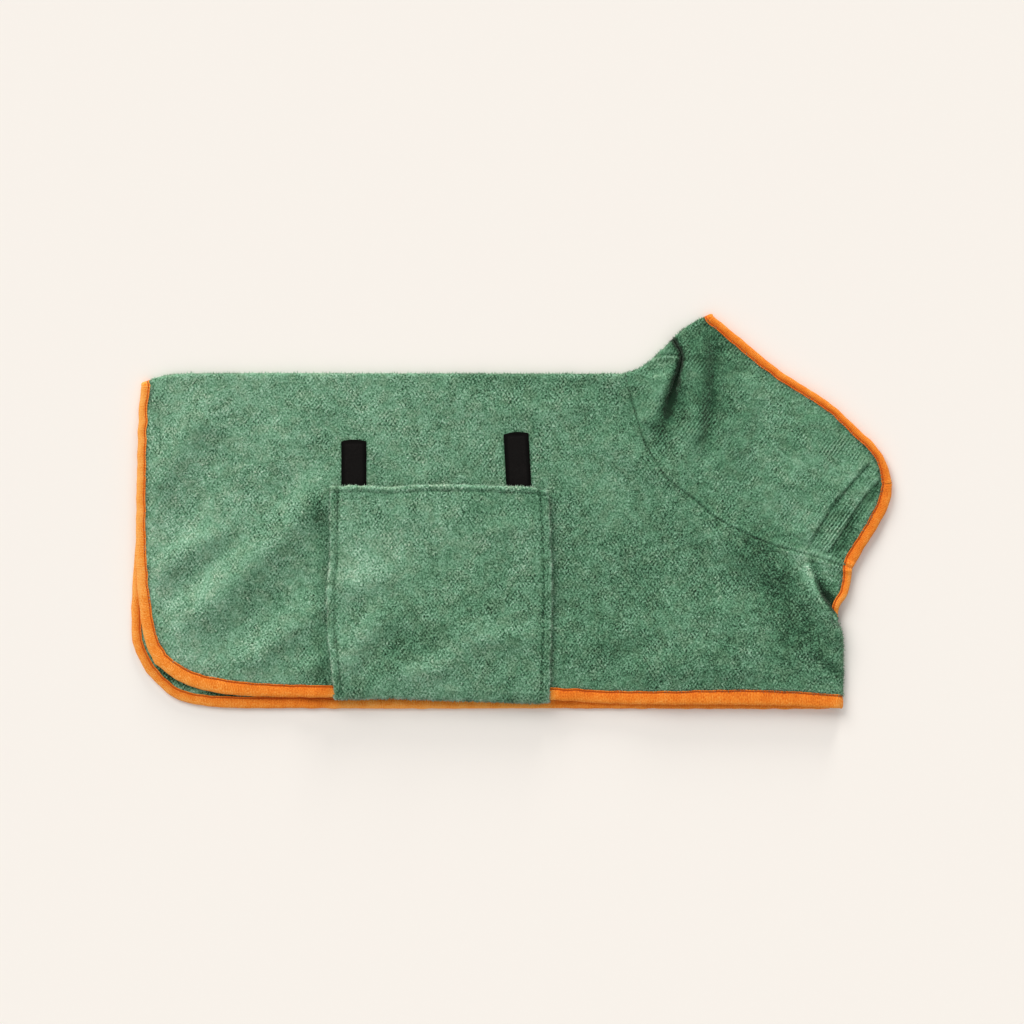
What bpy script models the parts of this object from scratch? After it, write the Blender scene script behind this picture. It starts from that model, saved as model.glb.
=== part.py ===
"""Dog drying coat of green microfibre terry with orange binding, closed and laid flat on its side.

Frame: +X towards the neck, +Y towards the spine, +Z up from the table; the origin lies on the table
under the middle of the outline.  The near side is the upper one.  Sizes are in millimetres, and MM
turns them into metres where a mesh is made.  Outlines run counter-clockwise round the coat, seen
from above, so the cloth is always on the left of the direction of travel.
"""

from collections import namedtuple

import bmesh
import bpy
import numpy as np
from mathutils import Vector
from mathutils.bvhtree import BVHTree

MM = 0.001

# Cloth and trim
TERRY = 3.0  # wall of the terry
FLAP_TERRY = 2.6  # wall of the belly flap, which is pressed by the fastening
PRESSED = 0.6  # share of the terry's wall that is left where a binding grips it
TAPE = 0.8  # wall of the folded binding tape
SEAM = 0.3  # gap between pieces that are sewn or pressed together
PLAY = 0.15  # more room for the cloth between the two legs of a binding
BINDING = 10.0  # width of the folded binding
LOOP_TAPE = 25.0  # width of the black loop and hook tapes
LOOP_WALL = 1.0
COLLAR_TAPE = 18.0  # width of the hook tape behind the collar's front end
LAYER_GAP = 0.8  # air between the far side and the near side, laid flat

# Heights of the walls' middles above the table
BOUND = PRESSED * TERRY + 2 * (TAPE + SEAM + PLAY)  # thickness of a bound edge
FAR_FLAT = TERRY / 2
FAR_EDGE = BOUND / 2
NEAR_FLAT = FAR_FLAT + TERRY + LAYER_GAP
NEAR_EDGE = FAR_EDGE + BOUND + SEAM
FOLD = (NEAR_FLAT - FAR_FLAT) / 2  # radius of the spine fold, at the wall's middle
FOLD_REACH = FOLD + TERRY / 2  # from the start of a fold to its outermost line
FULLNESS = 1.0  # how far the near side stands up between its folds
MOST_RELIEF = 3.1  # the near side never rises further than this above its flat height

# Bound edges are flat for the binding's width, then ease into the panel
GRIP = BINDING + 2.5
EASE_NEAR = 26.0
EASE_FAR = 10.0

WALL_EASE = 16.0  # from a binding's grip to the full wall
FAR_INSET = 1.8  # the far collar lies this far inside the near one

# Chest tab, which carries the near side round the front fold and under the far side
TAB_LIFT = 3.5
TAB_EASE = 24.0  # the cloth over the tab comes down over this length, beyond its tip
TAB_EASE_UP = 18.0  # and over this one, above it
FAR_CLEAR = (18.0, 11.0)  # the far side is fully lifted this far beyond the tip and above the tab
NEAR_CLEAR = (24.0, 12.0)  # and the near side this far
TAB_TIP_X = 190.0
TAB_TOP_Y = -132.0
TAB_LOW_Y = -158.0
FRONT_X = 331.0  # outermost line of the front fold
FRONT_ROLL = 7.0  # how far the near side's roll over the front fold reaches
FRONT_LOW = 5.6  # height at which the near side's roll meets the tab
ROLL_TOP = (-120.0, -106.0)  # the roll is whole below these heights and gone above them
CHEST_BOUND_Y = -104.0  # the binding over the chest ends here, where the fold covers it
ROLL_END = 0.7  # the last, upright part of the roll and of the tab
FRONT_INNER = 12.0  # the roll or the gripped strip starts this far inside the front edge
ROLL_ANGLES = (0.0, 30.0, 60.0, 90.0, 90.0)

# Belly flap
FLAP_LIFT = 3.1
ROOT_EASE = 24.0  # the near side comes down from the root over this length
ROOT_CLEAR = (12.0, 8.0)  # it is fully lifted this far beside and above the root
FLAP_ROOT_Y = -129.0
FLAP_ROOT = 4.7  # height of the hidden root over the far side
FLAP_TURN = 5.9  # height of its lower leg where it turns round the hem
FLAP_OVER_HEM = 13.7  # height of its upper leg there
FLAP_TURN_BACK = 1.2  # the turn's centre lies this far inside the near hem's outline
FLAP_REST = 0.75  # room between the flap and what it lies on
FLAP_UPPER_Y = (-170.0, 10.0, 25.0)  # where it first lies on the near side, its last fold row, its top
REACH = 10.0  # the flap rests on the highest point within this distance
FLAP_LEFT_X = -181.0
FLAP_RIGHT_X = 41.0

TERRY_GREEN = (0.12, 0.26, 0.16, 1.0)
BINDING_ORANGE = (0.70, 0.19, 0.03, 1.0)
TAPE_BLACK = (0.006, 0.005, 0.006, 1.0)

Point = namedtuple("Point", "x y")
TwoSides = namedtuple("TwoSides", "near_x near_y far_x far_y")
Crease = namedtuple("Crease", "x0 y0 x1 y1 x2 y2 width height")
FlapSection = namedtuple("FlapSection", "y left_x right_x")
Strip = namedtuple("Strip", "top_x top_y low_x low_y")

# Tail edge, from the spine down to the middle of the rounded corner; outer line of the binding
TAIL = [
    TwoSides(-370.5, 127.0, -369.5, 126.5),
    TwoSides(-373.0, 108.0, -371.5, 108.0),
    TwoSides(-374.5, 60.0, -373.0, 60.0),
    TwoSides(-375.5, -5.0, -374.0, -8.0),
    TwoSides(-375.0, -59.0, -378.0, -60.0),
    TwoSides(-371.5, -98.0, -380.0, -104.0),
    TwoSides(-366.0, -130.0, -377.5, -135.0),
    TwoSides(-356.0, -152.0, -365.0, -161.0),
]
# Hem, from the middle of the rounded corner to the chest; outer line of the binding
HEM = [
    TwoSides(-356.0, -152.0, -365.0, -161.0),
    TwoSides(-331.0, -170.0, -338.0, -185.5),
    TwoSides(-291.0, -181.5, -300.0, -195.0),
    TwoSides(-235.0, -185.0, -215.0, -196.5),
    TwoSides(-71.0, -185.8, -71.0, -197.0),
    TwoSides(37.0, -188.0, 37.0, -196.6),
    TwoSides(103.0, -192.0, 103.0, -197.0),
    TwoSides(229.0, -193.0, 200.0, -197.3),
    TwoSides(290.0, -194.5, 270.0, -197.5),
    TwoSides(FRONT_X, -197.0, 319.0, -197.3),
]
# Front edge of the body, from the hem up to the neck seam; the near one is the front fold, then
# the outer line of the binding over the chest
FRONT = [
    TwoSides(FRONT_X, -197.0, 318.0, -196.5),
    TwoSides(FRONT_X, -180.0, 318.0, -160.0),
    TwoSides(FRONT_X, -124.0, 319.0, -122.0),
    TwoSides(327.0, -108.0, 324.0, -104.0),
    TwoSides(329.0, -92.5, 330.0, -88.0),
    TwoSides(336.0, -80.0, 334.0, -74.0),
    TwoSides(340.5, -57.0, 337.0, -57.5),
]
# Neck seam, from the front edge up to the spine
NECK = [
    Point(340.5, -57.0),
    Point(304.0, -45.0),
    Point(252.0, -29.0),
    Point(208.0, -7.0),
    Point(181.0, 15.0),
    Point(154.0, 37.0),
    Point(134.0, 70.0),
    Point(124.0, 101.0),
    Point(114.0, 137.5),
]
# Spine fold, from the neck to the tail
SPINE = [
    Point(114.0, 137.9),
    Point(49.0, 137.8),
    Point(-111.0, 138.1),
    Point(-308.0, 138.2),
    Point(-338.0, 137.0),
    Point(-355.0, 133.8),
    Point(-369.5, 128.4),
]
# Front edge of the collar, from the neck seam up to the throat; outer line of the binding
COLLAR_FRONT = [
    Point(340.5, -57.0),
    Point(354.0, -34.0),
    Point(364.0, -18.0),
    Point(373.0, -2.0),
    Point(379.0, 14.0),
    Point(380.3, 28.0),
]
# Rim of the collar, from the throat to the peak at the back of the neck
RIM = [
    Point(380.3, 28.0),
    Point(375.0, 46.5),
    Point(366.0, 63.0),
    Point(351.0, 78.0),
    Point(316.0, 110.0),
    Point(267.0, 142.0),
    Point(228.0, 174.0),
    Point(199.5, 197.5),
]
# Fold at the back of the neck, from the peak down to the spine
NAPE = [
    Point(199.5, 197.5),
    Point(189.0, 193.0),
    Point(169.0, 180.0),
    Point(149.0, 160.0),
    Point(131.0, 144.5),
    Point(114.0, 137.5),
]

# Creases: three points along each, its half width and its height (a trough is negative)
BODY_CREASES = [
    Crease(-346, -99, -268, -44, -185, 32, 22, 2.3),
    Crease(-296, -114, -238, -62, -188, 4, 20, -1.8),
    Crease(-361, 51, -336, 84, -311, 111, 18, 1.7),
    Crease(-356, -4, -330, 38, -304, 80, 15, -1.6),
    Crease(-361, -84, -318, -52, -281, -39, 13, -1.5),
    Crease(-352, -38, -335, -28, -316, -16, 22, 1.2),
    Crease(-276, -139, -243, -112, -206, -89, 15, 1.4),
    Crease(-226, -160, -208, -145, -188, -132, 13, 1.0),
    Crease(234, -29, 272, -70, 312, -140, 24, -2.2),
    Crease(283, -56, 298, -84, 315, -116, 11, 2.6),
    Crease(70, -60, 120, -20, 180, 0, 40, 0.9),
    Crease(60, 60, 90, 20, 120, -60, 34, -0.8),
    Crease(160, -150, 220, -120, 270, -130, 24, 1.0),
]
COLLAR_CREASES = [
    Crease(165, 176, 172, 140, 152, 89, 9, -2.6),
    Crease(204, 163, 199, 116, 207, 66, 20, -1.8),
    Crease(150, 148, 152, 125, 140, 96, 10, 1.2),
    Crease(188, 160, 186, 118, 178, 70, 12, 1.6),
    Crease(240, 130, 250, 80, 262, 20, 34, 1.4),
    Crease(300, -40, 330, 12, 362, 48, 26, 1.3),
]
FLAP_CREASES = [
    Crease(-146, -176, -128, -142, -96, -119, 22, -1.2),
    Crease(-176, -66, -150, -58, -118, -54, 26, 1.0),
    Crease(-21, -126, 2, -116, 26, -108, 22, 1.2),
]
FLAP_SECTIONS = [
    FlapSection(-190.0, -177.0, 37.5),
    FlapSection(-129.0, -178.5, 39.0),
    FlapSection(-89.0, -180.5, 40.0),
    FlapSection(-49.0, -182.0, 38.5),
    FlapSection(-10.0, -181.0, 37.0),
    FlapSection(25.0, -180.0, 36.0),
]
LOOP_STRIPS = {
    "rear": Strip(-157.5, 70.0, -157.0, -92.0),
    "front": Strip(4.5, 77.5, 13.5, -92.0),
}
HOOK_TOP_Y = 14.0  # the hook tapes behind the flap start just below its stitched top edge
HOOK_LOW_Y = -84.0
COLLAR_HOOK = Strip(352.0, 33.0, 309.0, -33.0)
COLLAR_HOOK_REST = 0.4  # height of the collar's hook tape over the far side
STRIP_STEP = 9.0  # length of a tape between its rows of points

# Grid of the panels
FLAP_SHARES = (0, 0.04, 0.105, 0.17, 0.235, 0.34, 0.45, 0.56, 0.68, 0.787, 0.87, 0.965, 1)
SPINE_STATIONS = 21
NECK_STATIONS = 11
HEM_SHARE_AT_NECK = 0.68  # share of the hem that lies below the spine
NEAR_ROWS = 15
FAR_ROWS = 10
COLLAR_ROWS = 10
FOLD_ANGLES = (45.0, 90.0, 135.0)
DENSE = 400


# --- curves and patches in plan -----------------------------------------------------------------


def length_along(curve):
    steps = np.linalg.norm(np.diff(curve, axis=0), axis=1)
    return np.concatenate([[0.0], np.cumsum(steps)])


def at(curve, shares):
    """Points at these shares of the curve's length."""
    along = length_along(curve)
    wanted = np.asarray(shares, float) * along[-1]
    return np.stack([np.interp(wanted, along, curve[:, k]) for k in range(curve.shape[1])], axis=1)


def through(points):
    """A smooth, evenly spaced curve through the points."""
    knots = np.array([(p[0], p[1]) for p in points], float)
    knots = np.vstack([2 * knots[0] - knots[1], knots, 2 * knots[-1] - knots[-2]])
    spans = []
    t = np.linspace(0, 1, 24, endpoint=False)[:, None]
    for a, b, c, d in zip(knots, knots[1:], knots[2:], knots[3:]):
        reach = np.linalg.norm(c - b)
        into = (c - a) / max(np.linalg.norm(b - a) + reach, 1e-6) * reach
        out = (d - b) / max(reach + np.linalg.norm(d - c), 1e-6) * reach
        spans.append(
            (2 * t**3 - 3 * t**2 + 1) * b
            + (t**3 - 2 * t**2 + t) * into
            + (3 * t**2 - 2 * t**3) * c
            + (t**3 - t**2) * out
        )
    spans.append(knots[-2:-1])
    return at(np.vstack(spans), np.linspace(0, 1, DENSE))


def near_of(rows):
    return through([(row.near_x, row.near_y) for row in rows])


def far_of(rows):
    return through([(row.far_x, row.far_y) for row in rows])


def left_normals(curve):
    tangents = np.gradient(curve, axis=0)
    tangents /= np.linalg.norm(tangents, axis=1)[:, None]
    return np.stack([-tangents[:, 1], tangents[:, 0]], axis=1)


def inset(curve, distance):
    return curve + left_normals(curve) * np.reshape(distance, (-1, 1))


def pinned(curve, start, end):
    """The curve with its ends moved onto two points, the shift fading along it."""
    share = np.linspace(0, 1, len(curve))[:, None]
    return curve + (1 - share) * (start - curve[0]) + share * (end - curve[-1])


def patch(low, top, left, right, us, vs):
    """Coons patch: low and top hold a point for each u, left and right one for each v."""
    u = np.asarray(us)[:, None, None]
    v = np.asarray(vs)[None, :, None]
    ruled = (1 - v) * low[:, None] + v * top[:, None] + (1 - u) * left[None] + u * right[None]
    corners = (1 - u) * (1 - v) * low[0] + u * (1 - v) * low[-1]
    return ruled - corners - (1 - u) * v * top[0] - u * v * top[-1]


def rows_from_edge(station, first, count):
    """Points along a station: its start, one at the binding's grip, then even steps to its end."""
    share = first / length_along(station)[-1]
    return at(station, np.concatenate([[0.0], np.linspace(share, 1.0, count)]))


def distance_to(curve, x, y):
    starts, spans = curve[:-1], np.diff(curve, axis=0)
    p = np.stack([x, y], axis=-1)[..., None, :]
    t = ((p - starts) * spans).sum(-1) / np.maximum((spans**2).sum(-1), 1e-9)
    nearest = starts + np.clip(t, 0, 1)[..., None] * spans
    return np.linalg.norm(p - nearest, axis=-1).min(-1)


def ramp(value, start, end):
    t = np.clip((value - start) / (end - start), 0, 1)
    return t * t * (3 - 2 * t)


# --- the coat's outlines ------------------------------------------------------------------------

RAW = TAPE + SEAM  # a bound panel's raw edge lies this far inside the binding's outer line


def outlines():
    """The raw edges of the panels, as smooth curves."""
    line = {
        "near_tail": inset(near_of(TAIL), RAW),
        "near_hem": inset(near_of(HEM), RAW),
        "near_front": inset(near_of(FRONT), RAW),
        "far_tail": inset(far_of(TAIL), RAW),
        "far_hem": inset(far_of(HEM), RAW),
        "far_front": far_of(FRONT),
        "neck": through(NECK),
        "spine": inset(through(SPINE), FOLD_REACH),
        "collar_front": inset(through(COLLAR_FRONT), RAW),
        "rim": inset(through(RIM), RAW),
        "nape": inset(through(NAPE), FOLD_REACH),
    }
    tail_top = line["spine"][-1]
    back = line["neck"][-1] + (line["spine"][0] - through(SPINE)[0])
    peak = line["nape"][0]
    throat = (line["rim"][0] + line["collar_front"][-1]) / 2
    seam_end = (line["near_front"][-1] + line["collar_front"][0]) / 2
    for side in ("near", "far"):
        corner = (line[side + "_tail"][-1] + line[side + "_hem"][0]) / 2
        line[side + "_tail"] = pinned(line[side + "_tail"], tail_top, corner)
        front, hem = line[side + "_front"], line[side + "_hem"]
        front_low = np.array([front[0, 0], hem[-1, 1]])
        line[side + "_hem"] = pinned(hem, corner, front_low)
        line[side + "_front"] = pinned(front, front_low, front[-1])
    line["near_front"] = pinned(line["near_front"], line["near_front"][0], seam_end)
    line["neck"] = pinned(line["neck"], seam_end, back)
    line["spine"] = pinned(line["spine"], back, tail_top)
    line["nape"] = pinned(line["nape"], peak, back)
    line["rim"] = pinned(line["rim"], throat, peak)
    line["collar_front"] = pinned(line["collar_front"], seam_end, throat)
    far_inset = FAR_INSET * ramp(np.linspace(0, 1, DENSE), 1.0, 0.85)
    line["far_rim"] = inset(line["rim"], far_inset)
    line["far_collar_front"] = pinned(
        inset(line["collar_front"], FAR_INSET), line["far_front"][-1], line["far_rim"][0]
    )
    return line


LINE = outlines()
NEAR_BOUND = np.vstack([LINE["near_tail"], LINE["near_hem"]])[::4]
NEAR_NECK_BOUND = np.vstack([LINE["collar_front"], LINE["rim"]])[::4]
NEAR_CHEST_BOUND = LINE["near_front"][LINE["near_front"][:, 1] > CHEST_BOUND_Y][::4]
FAR_BOUND = np.vstack([LINE["far_tail"], LINE["far_hem"]])[::4]
FAR_NECK_BOUND = np.vstack([LINE["far_collar_front"], LINE["far_rim"]])[::4]


# --- heights of the walls' middles --------------------------------------------------------------


def relief(creases, x, y):
    total = np.zeros_like(x)
    t = np.linspace(0, 1, 13)[:, None]
    for c in creases:
        ends = np.array([(c.x0, c.y0), (c.x1, c.y1), (c.x2, c.y2)], float)
        bend = 2 * ends[1] - (ends[0] + ends[2]) / 2
        curve = (1 - t) ** 2 * ends[0] + 2 * t * (1 - t) * bend + t**2 * ends[2]
        total += c.height * np.exp(-((distance_to(curve, x, y) / c.width) ** 2))
    return total


def far_edge_distance(x, y):
    return np.minimum(distance_to(FAR_BOUND, x, y), distance_to(FAR_NECK_BOUND, x, y))


def near_edge_distance(x, y):
    edges = (NEAR_BOUND, NEAR_NECK_BOUND, NEAR_CHEST_BOUND)
    return np.min([distance_to(edge, x, y) for edge in edges], axis=0)


def tab_lift(x, y, beyond, above):
    """How far the chest tab lifts the cloth, which is fully up to these distances round the tab."""
    from_tip = ramp(x, TAB_TIP_X - beyond - TAB_EASE, TAB_TIP_X - beyond)
    return TAB_LIFT * from_tip * (1 - ramp(y, TAB_TOP_Y + above, TAB_TOP_Y + above + TAB_EASE_UP))


def far_height(x, y):
    gripped = 1 - ramp(far_edge_distance(x, y), GRIP - 1, GRIP + EASE_FAR)
    return (1 - gripped) * (FAR_FLAT + tab_lift(x, y, *FAR_CLEAR)) + gripped * FAR_EDGE


def near_stack(x, y):
    """How far the near side is lifted by the flap's root and by the chest tab below it."""
    beside, above = ROOT_CLEAR
    left = ramp(x, FLAP_LEFT_X - beside - ROOT_EASE, FLAP_LEFT_X - beside)
    right = 1 - ramp(x, FLAP_RIGHT_X + beside, FLAP_RIGHT_X + beside + ROOT_EASE)
    low = 1 - ramp(y, FLAP_ROOT_Y + above, FLAP_ROOT_Y + above + ROOT_EASE)
    return FLAP_LIFT * left * right * low + tab_lift(x, y, *NEAR_CLEAR)


def near_height(x, y):
    gripped = 1 - ramp(near_edge_distance(x, y), GRIP, GRIP + EASE_NEAR)
    raised = relief(BODY_CREASES + COLLAR_CREASES, x, y) + FULLNESS
    raised = np.clip(raised, 0.0, MOST_RELIEF) * (1 - gripped)
    flat = (1 - gripped) * NEAR_FLAT + gripped * NEAR_EDGE
    height = flat + near_stack(x, y) + raised
    return np.maximum(height, far_height(x, y) + TERRY + 0.6)


def raised_to(plan, height):
    """Plan points (..., 2) with their heights, as (..., 3)."""
    return np.concatenate([plan, height(plan[..., 0], plan[..., 1])[..., None]], axis=-1)


def full_wall(points, edge_distance):
    """Share of the full wall at each point: nothing where a binding grips the edge."""
    return ramp(edge_distance(points[..., 0], points[..., 1]), GRIP, GRIP + WALL_EASE)


# --- meshes -------------------------------------------------------------------------------------


def material(name, colour, roughness):
    finish = bpy.data.materials.new(name)
    finish.use_nodes = True
    shader = finish.node_tree.nodes["Principled BSDF"]
    shader.inputs["Base Color"].default_value = colour
    shader.inputs["Roughness"].default_value = roughness
    shader.inputs["Metallic"].default_value = 0.0
    return finish


def mesh_object(name, vertices, faces, finish):
    mesh = bpy.data.meshes.new(name)
    mesh.from_pydata([tuple(v) for v in np.asarray(vertices) * MM], [], faces)
    mesh.materials.append(finish)
    mesh.update()
    mesh.shade_smooth()
    made = bpy.data.objects.new(name, mesh)
    bpy.context.collection.objects.link(made)
    return made


def cloth(name, grid, wall, finish, share=None):
    """A wall of cloth about a grid of points (columns, rows, 3); a cell with a missing corner is open.

    share gives the part of the way from the pressed to the full wall at each point."""
    columns, rows = grid.shape[:2]
    kept = np.isfinite(grid[..., 0])
    index = np.full((columns, rows), -1)
    index[kept] = np.arange(kept.sum())
    cells = kept[:-1, :-1] & kept[1:, :-1] & kept[1:, 1:] & kept[:-1, 1:]
    faces = [
        (index[i, j], index[i + 1, j], index[i + 1, j + 1], index[i, j + 1])
        for i, j in zip(*np.nonzero(cells))
    ]
    made = mesh_object(name, grid[kept], [tuple(int(v) for v in face) for face in faces], finish)
    solid = made.modifiers.new("Wall", "SOLIDIFY")
    solid.thickness = wall * MM
    solid.offset = 0.0
    if share is not None:
        group = made.vertex_groups.new(name="full wall")
        for vertex, weight in enumerate(share[kept]):
            group.add([vertex], float(weight), "REPLACE")
        solid.vertex_group = group.name
        solid.thickness_vertex_group = PRESSED
    return made


BINDING_SECTION = [
    (BINDING - RAW, BOUND / 2 - 0.1),
    (1.2, BOUND / 2),
    (-0.6, 1.5),
    (-RAW, 0.6),
    (-RAW, -0.6),
    (-0.6, -1.5),
    (1.2, -BOUND / 2),
    (BINDING - RAW, -BOUND / 2),
    (BINDING - RAW, TAPE - BOUND / 2),
    (-SEAM, TAPE - BOUND / 2),
    (-SEAM, BOUND / 2 - TAPE),
    (BINDING - RAW, BOUND / 2 - TAPE),
]


def inward(path):
    """Mitred directions into the cloth, along a path of raw-edge points with the cloth on its left."""
    steps = np.diff(path[:, :2], axis=0)
    steps /= np.linalg.norm(steps, axis=1)[:, None]
    before = np.vstack([steps[:1], steps])
    after = np.vstack([steps, steps[-1:]])
    along = before + after
    along /= np.linalg.norm(along, axis=1)[:, None]
    stretch = 1 / (along * after).sum(1)
    return np.stack([-along[:, 1], along[:, 0]], axis=1) * stretch[:, None]


def upright(path, into):
    """Directions out of the cloth's upper face along its raw edge."""
    up = np.cross(np.gradient(path, axis=0), into)
    up *= np.sign(up[0, 2])
    return up / np.linalg.norm(up, axis=1)[:, None]


def binding(name, path, into, finish):
    """Folded tape that grips the raw edge: a U section carried along the edge's own points."""
    into = np.concatenate([into, np.zeros((len(into), 1))], axis=1)
    up = upright(path, into)
    rings = [[p + d * a + u * b for a, b in BINDING_SECTION] for p, d, u in zip(path, into, up)]
    size = len(BINDING_SECTION)
    faces = [
        (k * size + a, k * size + (a + 1) % size, (k + 1) * size + (a + 1) % size, (k + 1) * size + a)
        for k in range(len(path) - 1)
        for a in range(size)
    ]
    faces.append(tuple(reversed(range(size))))
    faces.append(tuple(range((len(path) - 1) * size, len(path) * size)))
    made = mesh_object(name, np.array(rings).reshape(-1, 3), faces, finish)
    shape = bmesh.new()
    shape.from_mesh(made.data)
    bmesh.ops.triangulate(shape, faces=[f for f in shape.faces if len(f.verts) > 4])
    bmesh.ops.recalc_face_normals(shape, faces=shape.faces)
    shape.to_mesh(made.data)
    shape.free()
    made.data.set_sharp_from_angle(angle=0.7)
    return made


def parted(path, at_start, at_end):
    """The path with its ends drawn in along it by these lengths."""
    path = path.copy()
    for end, beside, gap in ((0, 1, at_start), (-1, -2, at_end)):
        step = path[beside] - path[end]
        path[end] += step / np.linalg.norm(step) * gap
    return path


# --- body and collar ----------------------------------------------------------------------------


def turned_fold(near, far, outward):
    """Points of the fold between the near and the far side, for each pair of facing points."""
    middle, half = (near + far) / 2, (near - far) / 2
    out = np.concatenate([outward, np.zeros((len(outward), 1))], axis=1) * FOLD
    turns = [
        middle + half * np.cos(np.radians(a)) + out * np.sin(np.radians(a)) for a in FOLD_ANGLES
    ]
    return np.stack(turns, axis=1)


def neck_points():
    """Stations along the neck seam, from the spine to the start of the front strip, and its end."""
    neck = LINE["neck"][::-1]
    stop = 1 - FRONT_INNER / length_along(neck)[-1]
    return at(neck, np.append(np.linspace(0, stop, NECK_STATIONS + 1), 1.0))


def seam_side(points, towards_collar):
    """The neck stations moved to one side of the seam's gap, which is wider at the fold."""
    across = left_normals(points) * (1 if towards_collar else -1)
    room = SEAM / 2 + np.linspace(1, 0, len(points)) ** 8 * 0.9
    return points + across * room[:, None]


def body_side(side, top, rows):
    """Plan points of one side of the body (stations, rows), without its front strip."""
    hem, tail = LINE[side + "_hem"], LINE[side + "_tail"][::-1]
    front = LINE[side + "_front"]
    hem_stop = 1 - FRONT_INNER / length_along(hem)[-1]
    first = GRIP / length_along(hem)[-1]
    below_spine = np.append(0.0, np.linspace(first, HEM_SHARE_AT_NECK, SPINE_STATIONS))
    below_neck = np.linspace(HEM_SHARE_AT_NECK, hem_stop, NECK_STATIONS + 1)[1:]
    low = at(hem, np.concatenate([below_spine, below_neck]))
    inner_front = pinned(inset(front, FRONT_INNER), low[-1], top[-1])
    vs = np.linspace(0, 1, 60)
    us = np.linspace(0, 1, len(low))
    plan = patch(low, top, at(tail, vs), at(inner_front, vs), us, vs)
    return np.stack([rows_from_edge(station, GRIP, rows) for station in plan])


def body_tops():
    spine = LINE["spine"][::-1]
    first = GRIP / length_along(spine)[-1]
    over_spine = at(spine, np.append(0.0, np.linspace(first, 1.0, SPINE_STATIONS)))
    return over_spine, seam_side(neck_points(), False)


def near_front_strip(inner, edge):
    """The near side's last stations: flat under the chest's binding, rolled over at the front fold."""
    rolled = 1 - ramp(edge[:, 1], *ROLL_TOP)
    start = 1 - FRONT_ROLL / FRONT_INNER
    stations = []
    count = len(ROLL_ANGLES)
    ends = (0.0,) * (count - 1) + (ROLL_END,)
    for angle, even, end in zip(np.radians(ROLL_ANGLES), np.linspace(0, 1, count), ends):
        reach = start + (1 - start) * (rolled * np.sin(angle) + (1 - rolled) * even)
        plan = inner + (edge - inner) * reach[:, None]
        level = near_height(plan[:, 0], plan[:, 1])
        drop = (1 - np.cos(angle)) * rolled * (level - FRONT_LOW - ROLL_END) + end * rolled
        stations.append(np.concatenate([plan, (level - drop)[:, None]], axis=1))
    return np.stack(stations)


def body_grid():
    """All of the body: rows run up the near side, over the spine fold and down the far side."""
    over_spine, neck = body_tops()
    top = np.vstack([over_spine, neck[1:-1]])
    near_plan = body_side("near", top, NEAR_ROWS)
    far_plan = body_side("far", top, FAR_ROWS)
    near_front = pinned(LINE["near_front"], LINE["near_hem"][-1], neck[-1])
    near_edge = rows_from_edge(near_front, GRIP, NEAR_ROWS)
    far_edge = rows_from_edge(LINE["far_front"], GRIP, FAR_ROWS)
    near_edge[:, 0] -= (TERRY / 2 - RAW) * (1 - ramp(near_edge[:, 1], *ROLL_TOP))
    near = raised_to(near_plan, near_height)
    near = np.concatenate([near, near_front_strip(near_plan[-1], near_edge)])
    far = raised_to(np.concatenate([far_plan, far_edge[None]]), far_height)[:, ::-1]
    folded = len(over_spine)
    outward = left_normals(LINE["spine"])[::-1] * -1
    outward = at(outward, np.linspace(0, 1, folded))
    outward[-1] = (0.0, 1.0)
    fold = turned_fold(near[:folded, -1], far[:folded, 0], outward)
    stations = len(near)
    grid = np.full((stations, near.shape[1] + fold.shape[1] + far.shape[1], 3), np.nan)
    grid[:, : near.shape[1]] = near
    grid[:folded, near.shape[1] : near.shape[1] + fold.shape[1]] = fold
    grid[: len(far), near.shape[1] + fold.shape[1] :] = far
    return grid, near.shape[1]


def collar_side(side, seam):
    """Plan points of one side of the collar: (columns from the nape to the front, rows from the rim)."""
    prefix = "" if side == "near" else "far_"
    rim, front, nape = LINE[prefix + "rim"][::-1], LINE[prefix + "collar_front"], LINE["nape"][::-1]
    rim_stop = 1 - FRONT_INNER / length_along(rim)[-1]
    shares = np.append(np.linspace(0, rim_stop, len(seam) - 1), 1.0)
    vs = np.linspace(0, 1, 50)
    us = np.append(np.linspace(0, 1 - FRONT_INNER / 260.0, len(seam) - 1), 1.0)
    nape = pinned(nape, seam[0], rim[0])
    front = pinned(front, seam[-1], rim[-1])
    plan = patch(seam, at(rim, shares), at(nape, vs), at(front, vs), us, vs)
    return np.stack([rows_from_edge(column[::-1], GRIP, COLLAR_ROWS) for column in plan])


def collar_grid():
    """All of the collar: columns run from the near front over the nape fold to the far front."""
    near_seam = seam_side(neck_points(), True)
    far_seam = near_seam.copy()
    far_seam[-1] = LINE["far_front"][-1] + (near_seam[-1] - neck_points()[-1]) * 2
    near = raised_to(collar_side("near", near_seam), near_height)[::-1]
    far = raised_to(collar_side("far", far_seam), far_height)
    outward = at(left_normals(LINE["nape"]) * -1, np.linspace(0, 1, near.shape[1]))
    outward[-1] = (0.0, 1.0)
    fold = turned_fold(near[-1], far[0], outward)
    grid = np.concatenate([near, fold.transpose(1, 0, 2), far])
    return grid, len(near)


def share_of(grid, near_part):
    """The wall's share for a grid whose first columns or rows, near_part, are the near side's."""
    share = np.ones(grid.shape[:2])
    share[near_part] = full_wall(grid[near_part], near_edge_distance)
    rest = np.ones(grid.shape[:2], bool)
    rest[near_part] = False
    share[rest] = full_wall(np.nan_to_num(grid[rest]), far_edge_distance)
    return share


# --- pieces that lie on others ------------------------------------------------------------------


def surface_of(objects):
    graph = bpy.context.evaluated_depsgraph_get()
    return [BVHTree.FromObject(o, graph) for o in objects]


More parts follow.
